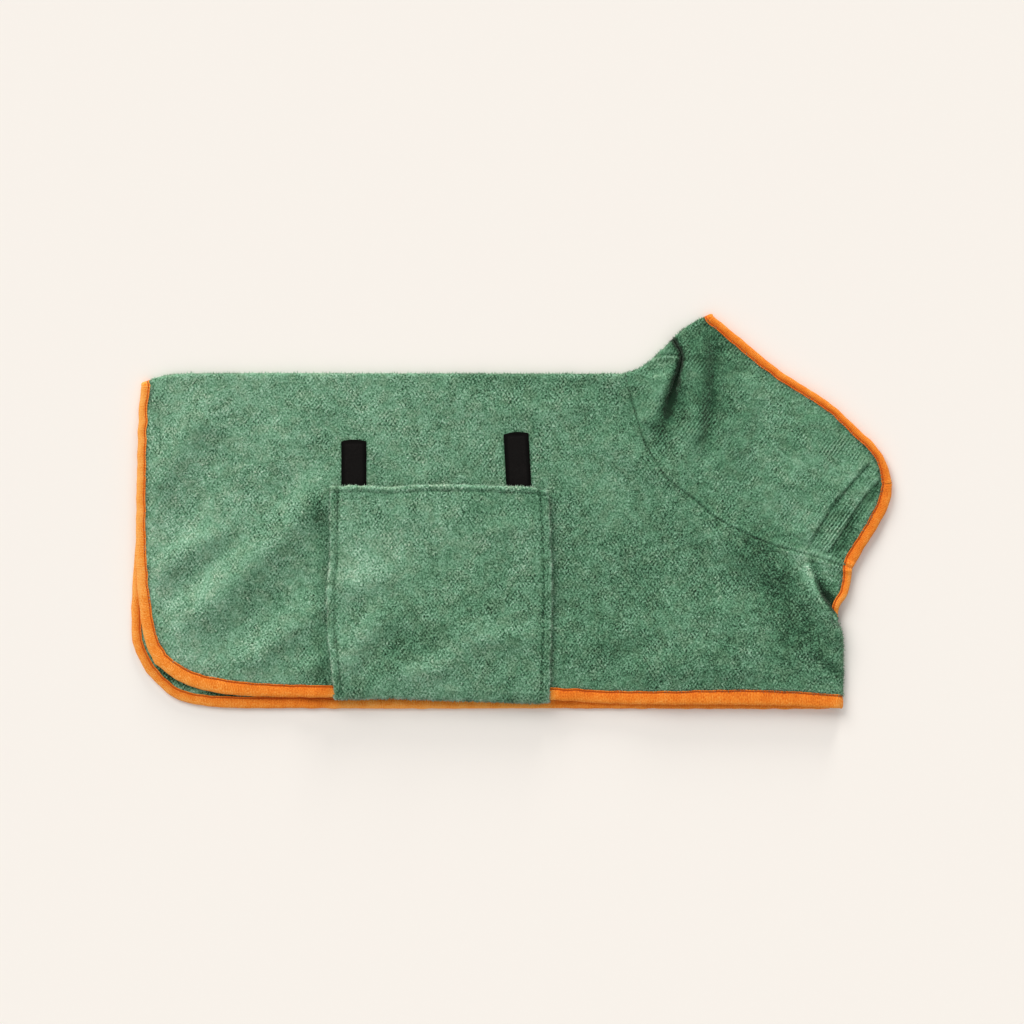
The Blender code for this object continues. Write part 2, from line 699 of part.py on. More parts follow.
def resting_height(carriers, x, y, reach):
    """Height of the highest carrier within reach of a point, in millimetres."""
    around = [(0.0, 0.0)]
    around += [(reach * np.cos(a), reach * np.sin(a)) for a in np.arange(0, 2 * np.pi, np.pi / 4)]
    around += [(dx / 2, dy / 2) for dx, dy in around[1:]]
    highest = 0.0
    for dx, dy in around:
        start = Vector(((x + dx) * MM, (y + dy) * MM, 0.1))
        for tree in carriers:
            hit = tree.ray_cast(start, Vector((0, 0, -1)))[0]
            if hit is not None:
                highest = max(highest, hit.z / MM)
    return highest


def laid_on(carriers, plan, wall, clearance, reach):
    """Middles of a wall laid on its carriers, for plan points (columns, rows, 2)."""
    bottoms = [[resting_height(carriers, x, y, reach) for x, y in column] for column in plan]
    return np.concatenate([plan, np.array(bottoms)[..., None] + clearance + wall / 2], axis=-1)


def strip_plan(strip, width, step, columns=3):
    """Plan grid of a straight tape, its columns across from left to right, its rows going up."""
    low, top = np.array([strip.low_x, strip.low_y]), np.array([strip.top_x, strip.top_y])
    along = top - low
    across = np.array([along[1], -along[0]]) / np.linalg.norm(along)
    rows = np.linspace(0, 1, int(round(np.linalg.norm(along) / step)) + 1)
    offsets = np.linspace(-width / 2, width / 2, columns)
    return np.array([[low + along * r + across * o for r in rows] for o in offsets])


def cut_strip(strip, top_y, low_y):
    """The part of a strip between two heights."""
    def x_at(y):
        share = (y - strip.low_y) / (strip.top_y - strip.low_y)
        return strip.low_x + (strip.top_x - strip.low_x) * share

    return Strip(x_at(top_y), top_y, x_at(low_y), low_y)


def flap_plan(shares, ys):
    """Plan grid of the flap: columns across it at these shares, rows at these heights."""
    section_y = [s.y for s in FLAP_SECTIONS]
    left = np.interp(ys, section_y, [s.left_x for s in FLAP_SECTIONS])
    right = np.interp(ys, section_y, [s.right_x for s in FLAP_SECTIONS])
    x = left + (right - left) * shares[:, None]
    return np.stack([x, np.broadcast_to(ys, x.shape)], axis=-1)


def flap_grid(carriers):
    """From the hidden root down inside the coat, round the near hem and up the near side."""
    shares = np.array(FLAP_SHARES)
    hem = near_of(HEM)
    turn_x = FLAP_SECTIONS[0].left_x + (FLAP_SECTIONS[0].right_x - FLAP_SECTIONS[0].left_x) * shares
    turn_y = np.interp(turn_x, hem[:, 0], hem[:, 1]) + FLAP_TURN_BACK
    root_ys = np.linspace(FLAP_ROOT_Y, FLAP_UPPER_Y[0], 3)
    root = flap_plan(shares, root_ys)
    root = np.concatenate([root, np.full(root.shape[:2] + (1,), FLAP_ROOT)], axis=-1)
    radius = (FLAP_OVER_HEM - FLAP_TURN) / 2
    turn = []
    for angle in np.radians([-90.0, -45.0, 0.0, 45.0, 90.0]):
        y = turn_y - radius * np.cos(angle)
        z = (FLAP_OVER_HEM + FLAP_TURN) / 2 + radius * np.sin(angle)
        turn.append(np.stack([turn_x, y, np.full_like(y, z)], axis=-1))
    low_y, high_y, top_y = FLAP_UPPER_Y
    upper_ys = np.append(np.linspace(low_y, high_y, 12), top_y)
    upper = laid_on(carriers, flap_plan(shares, upper_ys), FLAP_TERRY, FLAP_REST, REACH)
    folds = relief(FLAP_CREASES, upper[..., 0], upper[..., 1])
    upper[..., 2] += np.clip(folds, SEAM - FLAP_REST, FLAP_TERRY)
    return np.concatenate([root, np.stack(turn, axis=1), upper], axis=1)


def tab_grid():
    """A J in section: down from the near side's roll, round under the far side to the tip."""
    middle_x = FRONT_X - TERRY / 2
    high = FRONT_LOW - SEAM - ROLL_END
    low = TERRY / 2
    radius = high - low
    turn = [(middle_x, high + ROLL_END)]
    turn += [
        (middle_x - radius * (1 - np.cos(a)), high - radius * np.sin(a))
        for a in np.radians([0, 30, 60, 90])
    ]
    run = [(x, low) for x in np.linspace(middle_x - radius, TAB_TIP_X, 6)[1:]]
    ys = np.linspace(TAB_LOW_Y, TAB_TOP_Y, 4)
    return np.array([[(x, y, z) for y in ys] for x, z in turn + run])[::-1]


# --- the coat -----------------------------------------------------------------------------------


def clear_scene():
    for thing in list(bpy.data.objects):
        bpy.data.objects.remove(thing, do_unlink=True)


def build_bindings(body, near_rows, collar, near_columns, orange):
    near_hem = np.vstack([body[0, near_rows - 1 : 0 : -1], body[:, 0]])
    flat = len(near_hem) - len(ROLL_ANGLES)
    into = inward(near_hem[: flat + 1])
    into = np.vstack([into[:-1], np.tile([0.0, 1.0], (len(near_hem) - flat, 1))])
    binding("hem_binding_near", near_hem, into, orange)
    last = len(body) - len(ROLL_ANGLES) + 1
    far_hem = np.vstack([body[0, -FAR_ROWS - 1 : -1], body[:last, -1]])
    binding("hem_binding_far", far_hem, inward(far_hem), orange)
    chest = body[-1, :near_rows][::-1]
    chest = chest[chest[:, 1] > CHEST_BOUND_Y][1:]
    rim = collar[:near_columns, 0][::-1]
    front = collar[0, 1:]
    build_neck_binding("near", rim, np.vstack([front, chest]), orange)
    rim = collar[near_columns + len(FOLD_ANGLES) :, 0]
    front = collar[-1, 1:]
    build_neck_binding("far", rim, front, orange)


def build_neck_binding(side, rim, front, orange):
    """Rim and front binding of one side, mitred where they meet at the throat."""
    path = np.vstack([rim, front])
    into = -inward(path)
    corner = len(rim) - 1
    rim_path = parted(path[: corner + 1], 0.0, SEAM / 2)
    front_path = parted(path[corner:], SEAM / 2, 0.0)
    binding(f"rim_binding_{side}", rim_path, into[: corner + 1], orange)
    binding(f"front_binding_{side}", front_path, into[corner:], orange)


def build():
    clear_scene()
    green = material("terry", TERRY_GREEN, 0.95)
    orange = material("binding", BINDING_ORANGE, 0.8)
    black = material("hook and loop", TAPE_BLACK, 0.85)
    body, near_rows = body_grid()
    body_cloth = cloth("body", body, TERRY, green, share_of(body, np.s_[:, :near_rows]))
    collar, near_columns = collar_grid()
    cloth("collar", collar, TERRY, green, share_of(collar, np.s_[:near_columns]))
    cloth("chest_tab", tab_grid(), TERRY, green)
    build_bindings(body, near_rows, collar, near_columns, orange)
    carriers = [body_cloth]
    for name, strip in LOOP_STRIPS.items():
        plan = strip_plan(strip, LOOP_TAPE, STRIP_STEP)
        grid = laid_on(surface_of([body_cloth]), plan, LOOP_WALL, SEAM, 4.0)
        carriers.append(cloth(f"loop_tape_{name}", grid, LOOP_WALL, black))
    hooks = []
    for name, strip in LOOP_STRIPS.items():
        plan = strip_plan(cut_strip(strip, HOOK_TOP_Y, HOOK_LOW_Y), LOOP_TAPE, STRIP_STEP)
        grid = laid_on(surface_of(carriers), plan, LOOP_WALL, SEAM, 4.0)
        hooks.append(cloth(f"hook_tape_{name}", grid, LOOP_WALL, black))
    carriers += hooks + [bpy.data.objects["hem_binding_near"]]
    cloth("belly_flap", flap_grid(surface_of(carriers)), FLAP_TERRY, green)
    plan = strip_plan(COLLAR_HOOK, COLLAR_TAPE, STRIP_STEP)
    heights = far_height(plan[..., 0], plan[..., 1]) + TERRY / 2 + COLLAR_HOOK_REST + LOOP_WALL / 2
    cloth("collar_hook_tape", np.concatenate([plan, heights[..., None]], axis=-1), LOOP_WALL, black)


build()
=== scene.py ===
"""Looks of the dog drying coat: thick green microfibre terry, orange folded binding and black hook and
loop tape, laid flat on its side and closed, seen from straight above.

The outlines and the stack of layers are those of the coat's solids.  They are written in millimetres
and turned into metres where a mesh is made.  X runs to the neck, Y to the spine and Z up to the
camera.  Outlines run counter-clockwise round the coat, so the cloth is on the left of the way.
"""

import math
from collections import namedtuple

import bpy
import numpy as np
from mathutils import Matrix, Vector, noise
from mathutils.bvhtree import BVHTree


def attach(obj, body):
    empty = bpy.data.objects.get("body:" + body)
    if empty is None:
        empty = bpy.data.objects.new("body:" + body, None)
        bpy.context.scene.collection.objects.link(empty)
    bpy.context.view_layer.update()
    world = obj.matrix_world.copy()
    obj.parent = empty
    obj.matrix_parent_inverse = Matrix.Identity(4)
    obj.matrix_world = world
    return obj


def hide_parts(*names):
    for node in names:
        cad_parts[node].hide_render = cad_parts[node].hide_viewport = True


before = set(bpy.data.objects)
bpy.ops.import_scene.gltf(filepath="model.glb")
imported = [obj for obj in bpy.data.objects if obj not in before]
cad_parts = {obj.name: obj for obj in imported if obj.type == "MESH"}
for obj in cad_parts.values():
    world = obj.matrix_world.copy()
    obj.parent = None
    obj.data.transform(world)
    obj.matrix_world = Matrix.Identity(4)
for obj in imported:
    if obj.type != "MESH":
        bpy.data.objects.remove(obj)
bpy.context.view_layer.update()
MM = 0.001

# Cloth and trim, in millimetres
TERRY = 3.0
FLAP_TERRY = 2.6
PRESSED = 0.6  # share of the terry's wall that is left under a tape
TAPE = 0.8
SEAM = 0.3  # between pieces that are sewn together
PLAY = 0.15  # between the pressed terry and the tape that grips it
BINDING = 10.0
LOOP_TAPE = 25.0
LOOP_WALL = 1.0
COLLAR_TAPE = 18.0
LAYER_GAP = 0.8  # between the far side and the near side
RAW = TAPE + SEAM  # from a bound edge's outline in to the cloth's raw edge
FAR_INSET = 1.8  # from the near collar's edge in to the far one's

# Heights of the walls' middles
BOUND = PRESSED * TERRY + 2 * (TAPE + SEAM + PLAY)
FAR_FLAT = TERRY / 2
FAR_EDGE = BOUND / 2
NEAR_FLAT = FAR_FLAT + TERRY + LAYER_GAP
NEAR_EDGE = FAR_EDGE + BOUND + SEAM
FOLD = (NEAR_FLAT - FAR_FLAT) / 2
FOLD_REACH = FOLD + TERRY / 2
LOWEST = 0.05  # nothing goes below this, so that the coat lies on the floor

# How far the near side stands up, and how soon beside a tape
FULLNESS = 2.0
RELIEF_SCALE = 1.3
MOST_RELIEF = 11.0
WALL_EASE = 3.5  # the cloth plumps up over this length
EASE_NEAR = 20.0
EASE_FAR = 10.0

# Chest tab: the cloth over it rises by the lift, clear of it by (beside, above)
TAB_LIFT = 3.5
TAB_EASE = 24.0
TAB_EASE_UP = 18.0
FAR_CLEAR = (18.0, 11.0)
NEAR_CLEAR = (24.0, 12.0)
NEAR_TAB_EASE = 60.0
TAB_TIP_X = 190.0
TAB_TOP_Y = -132.0
TAB_LOW_Y = -158.0

# Front fold: the near side rolls over below ROLL_TOP, and is flat and bound above it
FRONT_X = 331.0
FRONT_ROLL = 7.0
FRONT_LOW = 5.6
FRONT_INNER = 12.0
ROLL_TOP = (-120.0, -106.0)
CHEST_BOUND_Y = -106.5
ROLL_END = 0.7
ROLL_ANGLES = (0.0, 18.0, 36.0, 54.0, 72.0, 90.0, 90.0)

# Belly flap: the near side rises over its hidden root, and it turns round the near hem
FLAP_LIFT = 3.1
ROOT_EASE = 24.0
ROOT_CLEAR = (12.0, 8.0)
FLAP_ROOT_Y = -129.0
FLAP_ROOT_END_Y = -170.0
FLAP_ROOT = 4.7
FLAP_TURN = 5.9
FLAP_OVER_HEM = 13.7
FLAP_RADIUS = (FLAP_OVER_HEM - FLAP_TURN) / 2
FLAP_LEFT_X = -181.0
FLAP_RIGHT_X = 41.0
FLAP_HEM = 7.0
FLAP_TOP_HEM = 5.5
FLAP_REST = 0.35  # between the flap and what it lies on
FLAP_FULLNESS = 1.2
FLAP_MOST_RELIEF = 5.0
FLAP_SPREAD = 12  # steps of its grid by which the highest places spread
FLAP_ROUNDS = 110  # rounds of evening out after that

Point = namedtuple("Point", "x y")
TwoSides = namedtuple("TwoSides", "near_x near_y far_x far_y")
Crease = namedtuple("Crease", "x0 y0 x1 y1 x2 y2 width height")
FlapSection = namedtuple("FlapSection", "y left_x right_x")
Strip = namedtuple("Strip", "top_x top_y low_x low_y")
TapeWidth = namedtuple("TapeWidth", "share width")
BoundEdge = namedtuple("BoundEdge", "curve widths")
SoftBand = namedtuple("SoftBand", "x0 y0 x1 y1 width tone")
PaintedLightLine = namedtuple("PaintedLightLine", "curve shift width tone")
Wave = namedtuple("Wave", "height length seed")


def table(kind, *values):
    """A table whose rows are all of one kind."""
    return [kind(*row) for row in values]


# Outlines in plan, read off the photograph, with the near and the far side where they differ
TAIL = table(
    TwoSides,
    (-370.5, 127, -369.5, 126.5), (-373, 108, -371.5, 108), (-374.5, 60, -373, 60),
    (-375.5, -5, -374, -8), (-375, -59, -378, -60), (-371.5, -98, -380, -104),
    (-366, -130, -377.5, -135), (-356, -152, -365, -161),
)
HEM = table(
    TwoSides,
    (-356, -152, -365, -161), (-331, -170, -338, -185.5), (-291, -181.5, -300, -195),
    (-235, -185, -215, -196.5), (-71, -185.8, -71, -197), (37, -188, 37, -196.6),
    (103, -192, 103, -197), (229, -193, 200, -197.3), (290, -194.5, 270, -197.5),
    (FRONT_X, -197, 319, -197.3),
)
FRONT = table(
    TwoSides,
    (FRONT_X, -197, 318, -196.5), (FRONT_X, -180, 318, -160), (FRONT_X, -126, 319, -122),
    (326.5, -108.5, 322, -104), (327, -96, 328, -88), (333.5, -87, 334, -76),
    (337.5, -77, 336, -66), (340.5, -57, 337, -57.5),
)
NECK = table(
    Point,
    (340.5, -57), (304, -45), (252, -29), (208, -7), (181, 15), (154, 37), (134, 70), (124, 101),
    (114, 137.9),
)
SPINE = table(
    Point,
    (114, 137.9), (49, 137.8), (-111, 138.1), (-308, 138.2), (-338, 137), (-355, 133.8),
    (-369.5, 128.4),
)
COLLAR_FRONT = table(Point, (340.5, -57), (354, -34), (364, -18), (373, -2), (379, 14), (380.3, 28))
RIM = table(
    Point,
    (380.3, 28), (375, 46.5), (366, 63), (351, 78), (316, 110), (267, 142), (228, 174),
    (199.5, 197.5),
)
NAPE = table(Point, (199.5, 197.5), (189, 193), (169, 180), (149, 160), (131, 144.5), (114, 137.5))

# Soft creases, given one by one: three points along each, its half width and its height
BODY_CREASES = table(
    Crease,
    (-330, -113, -262, -56, -186, 24, 19, 6), (-356, -96, -304, -58, -262, -22, 12, -2.4),
    (-360, 20, -334, 60, -306, 102, 17, 5), (-352, -30, -318, 6, -286, 62, 15, -2.2),
    (-362, -66, -328, -42, -292, -20, 12, 3.6), (-290, -132, -242, -96, -200, -60, 12, -2.2),
    (-266, -156, -226, -122, -188, -96, 12, 3.8), (-214, -172, -198, -156, -184, -140, 9, 2.6),
    (-238, 40, -214, 76, -198, 116, 20, 2), (-352, -122, -338, -140, -318, -154, 11, 2),
    (-140, 104, -136, 78, -138, 52, 12, 1.8), (-60, 112, 10, 98, 70, 108, 16, 1.4),
    (74, 130, 98, 108, 118, 82, 8, -1.8), (90, 70, 116, 56, 146, 34, 14, 2.2),
    (70, 20, 100, -10, 120, -48, 20, 1.5), (151, -30, 152, -40, 151, -52, 4, -1.4),
    (196, -14, 240, -48, 276, -70, 16, 3), (240, -60, 272, -92, 300, -128, 18, -2),
    (296, -134, 306, -144, 322, -152, 8, 2.6), (303, -144, 314, -154, 328, -164, 6, -2.4),
    (120, -170, 180, -150, 250, -162, 18, 1.8), (204, -92, 226, -118, 232, -150, 15, 2.4),
    (60, -150, 92, -128, 130, -120, 16, 1.6),
)
COLLAR_CREASES = table(
    Crease,
    (190, 170, 188, 118, 182, 66, 9, 5.2), (218, 166, 216, 118, 216, 74, 10, 3.4),
    (206, 166, 204, 116, 194, 58, 9, -2.8), (146, 138, 144, 112, 136, 84, 9, 4),
    (240, 140, 236, 100, 226, 50, 14, 2.6), (296, 98, 300, 60, 290, 14, 22, 1.6),
    (262, 40, 290, 4, 300, -24, 16, 1.4),
)
FLAP_CREASES = table(
    Crease,
    (-168, -160, -150, -124, -112, -100, 13, 3.4), (-152, -178, -132, -144, -104, -124, 9, -2.4),
    (-104, -178, -66, -150, -26, -126, 13, 2.4), (-174, -80, -148, -70, -112, -64, 14, 3),
    (-120, -172, -92, -160, -66, -168, 14, 1.8), (-52, -112, -14, -128, 26, -122, 11, 2.6),
    (-30, -24, 0, -16, 26, -16, 10, 1.8), (-70, -166, -48, -182, -28, -188, 10, -1.2),
    (-120, 2, -70, -6, -30, 4, 18, 1.2),
)
# Soft bands of tone on the pile: two ends, half width and tone, pale above 0. The narrow dark bands
# are painted shade: in the tuck at the back of the neck, in the hollow right of the chest fold and in
# the hollow between the tapes at the hem's corner. The broad bands are partly the brushed pile's own
# tone and partly painted shade and painted highlights of the folds.
NAP_AND_PAINTED_LIGHT = table(
    SoftBand,
    (-345, -30, -330, -130, 40, 0.05), (-151, -60, -148, -76, 22, 0.06),
    (92, 52, 126, 22, 28, 0.06), (289, -6, 290, -36, 18, 0.07), (176, 172, 178, 112, 20, -0.10),
    (206, 176, 204, 100, 24, -0.09), (182, 92, 206, 76, 22, -0.06),
    (252, -40, 288, -120, 26, -0.17), (322, 10, 338, -24, 12, -0.08), (200, 90, 330, 0, 70, 0.06),
    (-352, -158, -281, -186, 6, -0.35), (292, -48, 306, -62, 12, 0.12),
    (-271, -39, -234, -97, 20, -0.05), (-192, 4, -190, -22, 18, -0.07),
    (-196, -150, -186, -168, 18, -0.08), (-112, -136, -74, -122, 18, -0.12),
    (-60, 132, 60, 132, 10, -0.05), (60, -40, 90, -160, 34, -0.03), (161, 172, 169, 159, 3, -0.55),
    (169.5, 153, 165, 132, 3, -0.60), (164, 128, 159.5, 112, 4.8, -0.46),
    (159, 110, 155.5, 99, 6, -0.36), (155, 98, 150, 80, 8, -0.20), (150, 80, 146, 66, 9, -0.06),
    (150, 146, 148, 108, 8, 0.07), (-60, 80, 60, 60, 60, 0.03), (204, 162, 194, 68, 8, -0.11),
    (180, 150, 178, 100, 5, 0.08), (304, -142, 328, -164, 6, -0.10), (308, -72, 321, -94, 6, -0.16),
    (313, -83, 322, -98, 4, -0.26),
)
# The same, on the belly flap alone: partly its own tone and partly painted shade and painted highlights
# of its folds
FLAP_NAP_AND_PAINTED_LIGHT = table(
    SoftBand,
    (-152, -176, -112, -128, 10, -0.10), (-170, -150, -140, -112, 12, 0.06),
    (-101, -176, -24, -122, 14, 0.06), (-176, -69, -101, -49, 15, 0.06),
    (-160, -20, 20, -30, 22, 0.04), (-150, -104, 20, -88, 12, -0.04),
)
# Where the knit's rows show clearly, as straight ribs
RIBBED = table(
    SoftBand,
    (318, -24, 338, 0, 12, 0.20), (316, 58, 330, 68, 8, 0.16), (180, 152, 188, 146, 8, 0.14),
    (162, 74, 192, 88, 9, 0.10), (330, -72, 322, -60, 7, 0.10),
)
# The cloth just left of the flap, which lies in its shade: painted shade darkens it along this line
BESIDE_FLAP = table(Point, (-191, 22), (-191, -60), (-192, -120), (-187, -180))
# The near side's chest fold: it grows from nothing and overhangs the cloth on its right
CHEST_FOLD = table(
    Point,
    (293, -46), (296.5, -53), (299.5, -62), (302.5, -72), (307, -83), (313, -91.5), (319.5, -99.5),
    (326, -109), (332.5, -121),
)
CHEST_FOLD_HEIGHT = 8.0
# The tuck at the back of the neck, from its deep top to its soft lower end
TUCK = table(
    Point,
    (159.5, 174), (165, 166.5), (169.5, 157), (169, 147), (163.5, 127), (159.5, 111), (153.5, 92),
)
TUCK_DEPTH = 9.0
TUCK_SHOULDERS = 4.5
# The small seam that runs from the nape into the tuck: the cloth below it laps over
TUCK_SEAM = table(Point, (138, 151), (146, 154.5), (157, 155.6), (169, 154))
# Two rows of stitching through the collar, from the hook tape on its reverse
STITCH_ROW_REAR = table(Point, (359, 51), (336, 25), (318, 3), (296, -35))
STITCH_ROW_FRONT = table(Point, (368, 33), (349, 11), (335, -11), (314, -44))
# The belly flap's side edges at a few heights, and its top and bottom edges
FLAP_SECTIONS = table(
    FlapSection,
    (-191, -174, 36.8), (-184, -176, 37.4), (-164, -178.5, 38.2), (-139, -181, 38.8),
    (-119, -183.5, 39.4), (-74, -183.8, 40), (-49, -180.8, 39.6), (-9, -181, 38.4),
    (25, -180.2, 35),
)
FLAP_TOP = table(
    Point,
    (-181, 24.6), (-150, 25.6), (-122, 24), (-100, 25.4), (-77, 26.6), (-43, 26.2), (-8, 25),
    (24, 24.2), (36, 21.6),
)
FLAP_BOTTOM = table(
    Point,
    (-174, -187.2), (-120, -186.4), (-60, -188.4), (-10, -189.8), (20, -191.2), (37, -190.6),
)
# Middle lines of the strips; the flap's hook strips cover the loop strips between two heights
LOOP_STRIPS = {
    "rear": Strip(-157.5, 70, -157, -92),
    "front": Strip(4.5, 77.5, 13.5, -92),
}
HOOK_TOP_Y = 14.0
HOOK_LOW_Y = -84.0
COLLAR_HOOK = Strip(352, 33, 309, -33)
COLLAR_HOOK_REST = 0.4

# Widths of the tapes as they show from above, from the spine fold to the chest and from the nape
# to the chest: a tape that leans over the edge shows less of itself
NEAR_HEM_WIDTHS = table(
    TapeWidth,
    (0, 8.8), (0.09, 9), (0.15, 10), (0.20, 11.2), (0.25, 12.6), (0.29, 14.4), (0.36, 14.8),
    (0.42, 12.8), (0.50, 11.8), (0.72, 12.6), (0.83, 13.6), (0.90, 15.4), (0.96, 14.6), (1, 13.8),
)
NEAR_NECK_WIDTHS = table(
    TapeWidth,
    (0, 8.6), (0.09, 9.4), (0.22, 8.5), (0.38, 8), (0.56, 8.2), (0.62, 10), (0.67, 12),
    (0.78, 11.4), (0.855, 11.6), (0.88, 8.8), (0.95, 8.2), (1, 6.8),
)
FAR_NECK_WIDTHS = table(TapeWidth, (0, BINDING), (1, BINDING))
FAR_HEM_WIDTHS = table(TapeWidth, (0.32, BINDING), (0.38, 11.6), (1, 11.6))

# Random waves, of this height and about this length, of the cloth and of its frayed edges
NEAR_WAVES = table(Wave, (0.7, 26, 3.7), (0.4, 12, 8.1))
TAPE_PUCKERS = table(Wave, (0.9, 8, 5.5))
SEAM_PUCKERS = table(Wave, (0.8, 3, 2.2))
NECK_LENGTH = 340.0
FLAP_WAVES = table(Wave, (0.6, 22, 6.4))
FLAP_SIDE_FRAY = table(Wave, (0.9, 11, 1.3), (0.8, 4, 7.7))
FLAP_TOP_FRAY = table(Wave, (0.7, 9, 4.3), (0.6, 4, 6.7))
FLAP_LOW_FRAY = table(Wave, (0.9, 7, 2.9))
FRAYED_PALENESS = table(Wave, (1.2, 5, 2.4))

# Fineness of the curves and meshes
DENSE = 400
SPINE_STATIONS = 150
NECK_STATIONS = 116
HEM_SHARE_AT_NECK = 0.68  # share of the hem that lies below the spine's stations
COLLAR_STATIONS = 190
BODY_LEAN = 0.3  # how much closer to each other the stations get towards the front
COLLAR_LEAN = 0.08
NEAR_ROWS = 126
FAR_ROWS = 26
COLLAR_ROWS = 140
FLAP_COLUMNS = 124
FLAP_ROWS = 116
FLAP_ROOT_ROWS = 12
FOLD_ANGLES = (22.5, 45.0, 67.5, 90.0, 112.5, 135.0, 157.5)
SPAN_POINTS = 24  # between two given points of a curve
BOUND_EDGE_POINTS = 160
CREASE_POINTS = 13
BODY_SIDE_POINTS = 120
COLLAR_SIDE_POINTS = 80
COLLAR_LENGTH = 260.0  # of its middle, for the spacing of its stations

# Strips: the rows' spacing, the columns, and the rounds of evening out
LOOP_STEP = 2.0
LOOP_COLUMNS = 21
LOOP_ROUNDS = 12
HOOK_STEP = 3.0
HOOK_ROUNDS = 8
COLLAR_HOOK_STEP = 6.0
STRIP_REST = 0.1  # between a strip and what it lies on
REST_REACH = 2.0  # what lies on a surface rests on its highest place this near to each point

# How far the loops push each panel's faces in and out
LOOPINESS = {"body": 0.75, "collar": 0.75, "chest_tab": 0.4}
FLAP_LOOPINESS = 0.65
# Tufts on a piece's turned-away faces and over the tapes beside it: how many, and the draw's seed
EDGE_TUFTS = {"belly_flap": (5200, 31), "body": (2600, 33), "collar": (900, 35)}
TAPE_TUFTS = {"body": (2600, 37), "collar": (1100, 39)}
TUFT_RADIUS = (0.30, 0.55)
TUFT_LENGTH = (1.2, 3.0)
TUFT_FOOT = 0.4  # how deep a tuft's foot sits in the cloth
TUFT_LEAN = 0.45  # how unevenly the tufts lean
TUFT_PALENESS = 0.18
TURNED_AWAY = 0.62  # a face whose normal rises less than this is seen from the side


# --- curves and patches in plan ---


def length_along(curve):
    steps = np.linalg.norm(np.diff(curve, axis=0), axis=1)
    return np.concatenate([[0.0], np.cumsum(steps)])


def at(curve, shares):
    """Points at these shares of the curve's length."""
    along = length_along(curve)
    wanted = np.asarray(shares, float) * along[-1]
    return np.stack([np.interp(wanted, along, curve[:, k]) for k in range(curve.shape[1])], axis=1)


def through(points):
    """A smooth, evenly spaced curve through the points."""
    knots = np.array(points, float)
    knots = np.vstack([2 * knots[0] - knots[1], knots, 2 * knots[-1] - knots[-2]])
    spans = []
    t = np.linspace(0, 1, SPAN_POINTS, endpoint=False)[:, None]
    for a, b, c, d in zip(knots, knots[1:], knots[2:], knots[3:]):
        reach = np.linalg.norm(c - b)
        into = (c - a) / max(np.linalg.norm(b - a) + reach, 1e-6) * reach
        out = (d - b) / max(reach + np.linalg.norm(d - c), 1e-6) * reach
        spans.append(
            (2 * t**3 - 3 * t**2 + 1) * b
            + (t**3 - 2 * t**2 + t) * into
            + (3 * t**2 - 2 * t**3) * c
            + (t**3 - t**2) * out
        )
    spans.append(knots[-2:-1])
    return at(np.vstack(spans), np.linspace(0, 1, DENSE))


def near_of(rows):
    return through([(row.near_x, row.near_y) for row in rows])


def far_of(rows):
    return through([(row.far_x, row.far_y) for row in rows])


def left_normals(curve):
    tangents = np.gradient(curve, axis=0)
    tangents /= np.linalg.norm(tangents, axis=1)[:, None]
    return np.stack([-tangents[:, 1], tangents[:, 0]], axis=1)


def inset(curve, distance):
    """The curve moved to its left by one distance, or by one for each point."""
    return curve + left_normals(curve) * np.reshape(distance, (-1, 1))


def pinned(curve, start, end):
    """The curve with its ends moved onto two points, the shift fading along it."""
    share = np.linspace(0, 1, len(curve))[:, None]
    return curve + (1 - share) * (start - curve[0]) + share * (end - curve[-1])


def patch(low, top, left, right, us, vs):
    """Coons patch: low and top hold a point for each u, left and right one for each v."""
    u = np.asarray(us)[:, None, None]
    v = np.asarray(vs)[None, :, None]
    ruled = (1 - v) * low[:, None] + v * top[:, None] + (1 - u) * left[None] + u * right[None]
    corners = (1 - u) * (1 - v) * low[0] + u * (1 - v) * low[-1]
    return ruled - corners - (1 - u) * v * top[0] - u * v * top[-1]


def near_curve(curve, x, y):
    """Distance to a curve, the share along it and the side: positive on the left of its way."""
    starts, spans = curve[:-1], np.diff(curve, axis=0)
    shape = np.shape(x)
    p = np.stack([np.ravel(x), np.ravel(y)], axis=-1)
    best = np.full(len(p), np.inf)
    share = np.zeros(len(p))
    side = np.zeros(len(p))
    for k, (a, s) in enumerate(zip(starts, spans)):
        away = p - a
        t = np.clip(away @ s / max(s @ s, 1e-9), 0, 1)
        gap = away - t[:, None] * s
        distance = np.hypot(gap[:, 0], gap[:, 1])
        closer = distance < best
        best = np.where(closer, distance, best)
        share = np.where(closer, (k + t) / len(spans), share)
        side = np.where(closer, np.sign(s[0] * away[:, 1] - s[1] * away[:, 0]), side)
    return best.reshape(shape), share.reshape(shape), side.reshape(shape)


def distance_to(curve, x, y):
    return near_curve(curve, x, y)[0]


def bell(distance, width):
    """1 where the distance is 0, and about a third where it is the width."""
    return np.exp(-((distance / width) ** 2))


def ramp(value, start, end):
    """Rises smoothly from 0 at the start to 1 at the end."""
    t = np.clip((value - start) / (end - start), 0, 1)
    return t * t * (3 - 2 * t)


def within(share, start, end):
    """1 along a curve's middle, from one share to another, and easing to 0 at its ends."""
    return ramp(share, 0.0, start) * (1 - ramp(share, end, 1.0))


def height_along(points, x):
    """The height, at x, of the curve through the points."""
    curve = through(points)
    return np.interp(x, curve[:, 0], curve[:, 1])


# --- the coat's outlines ---


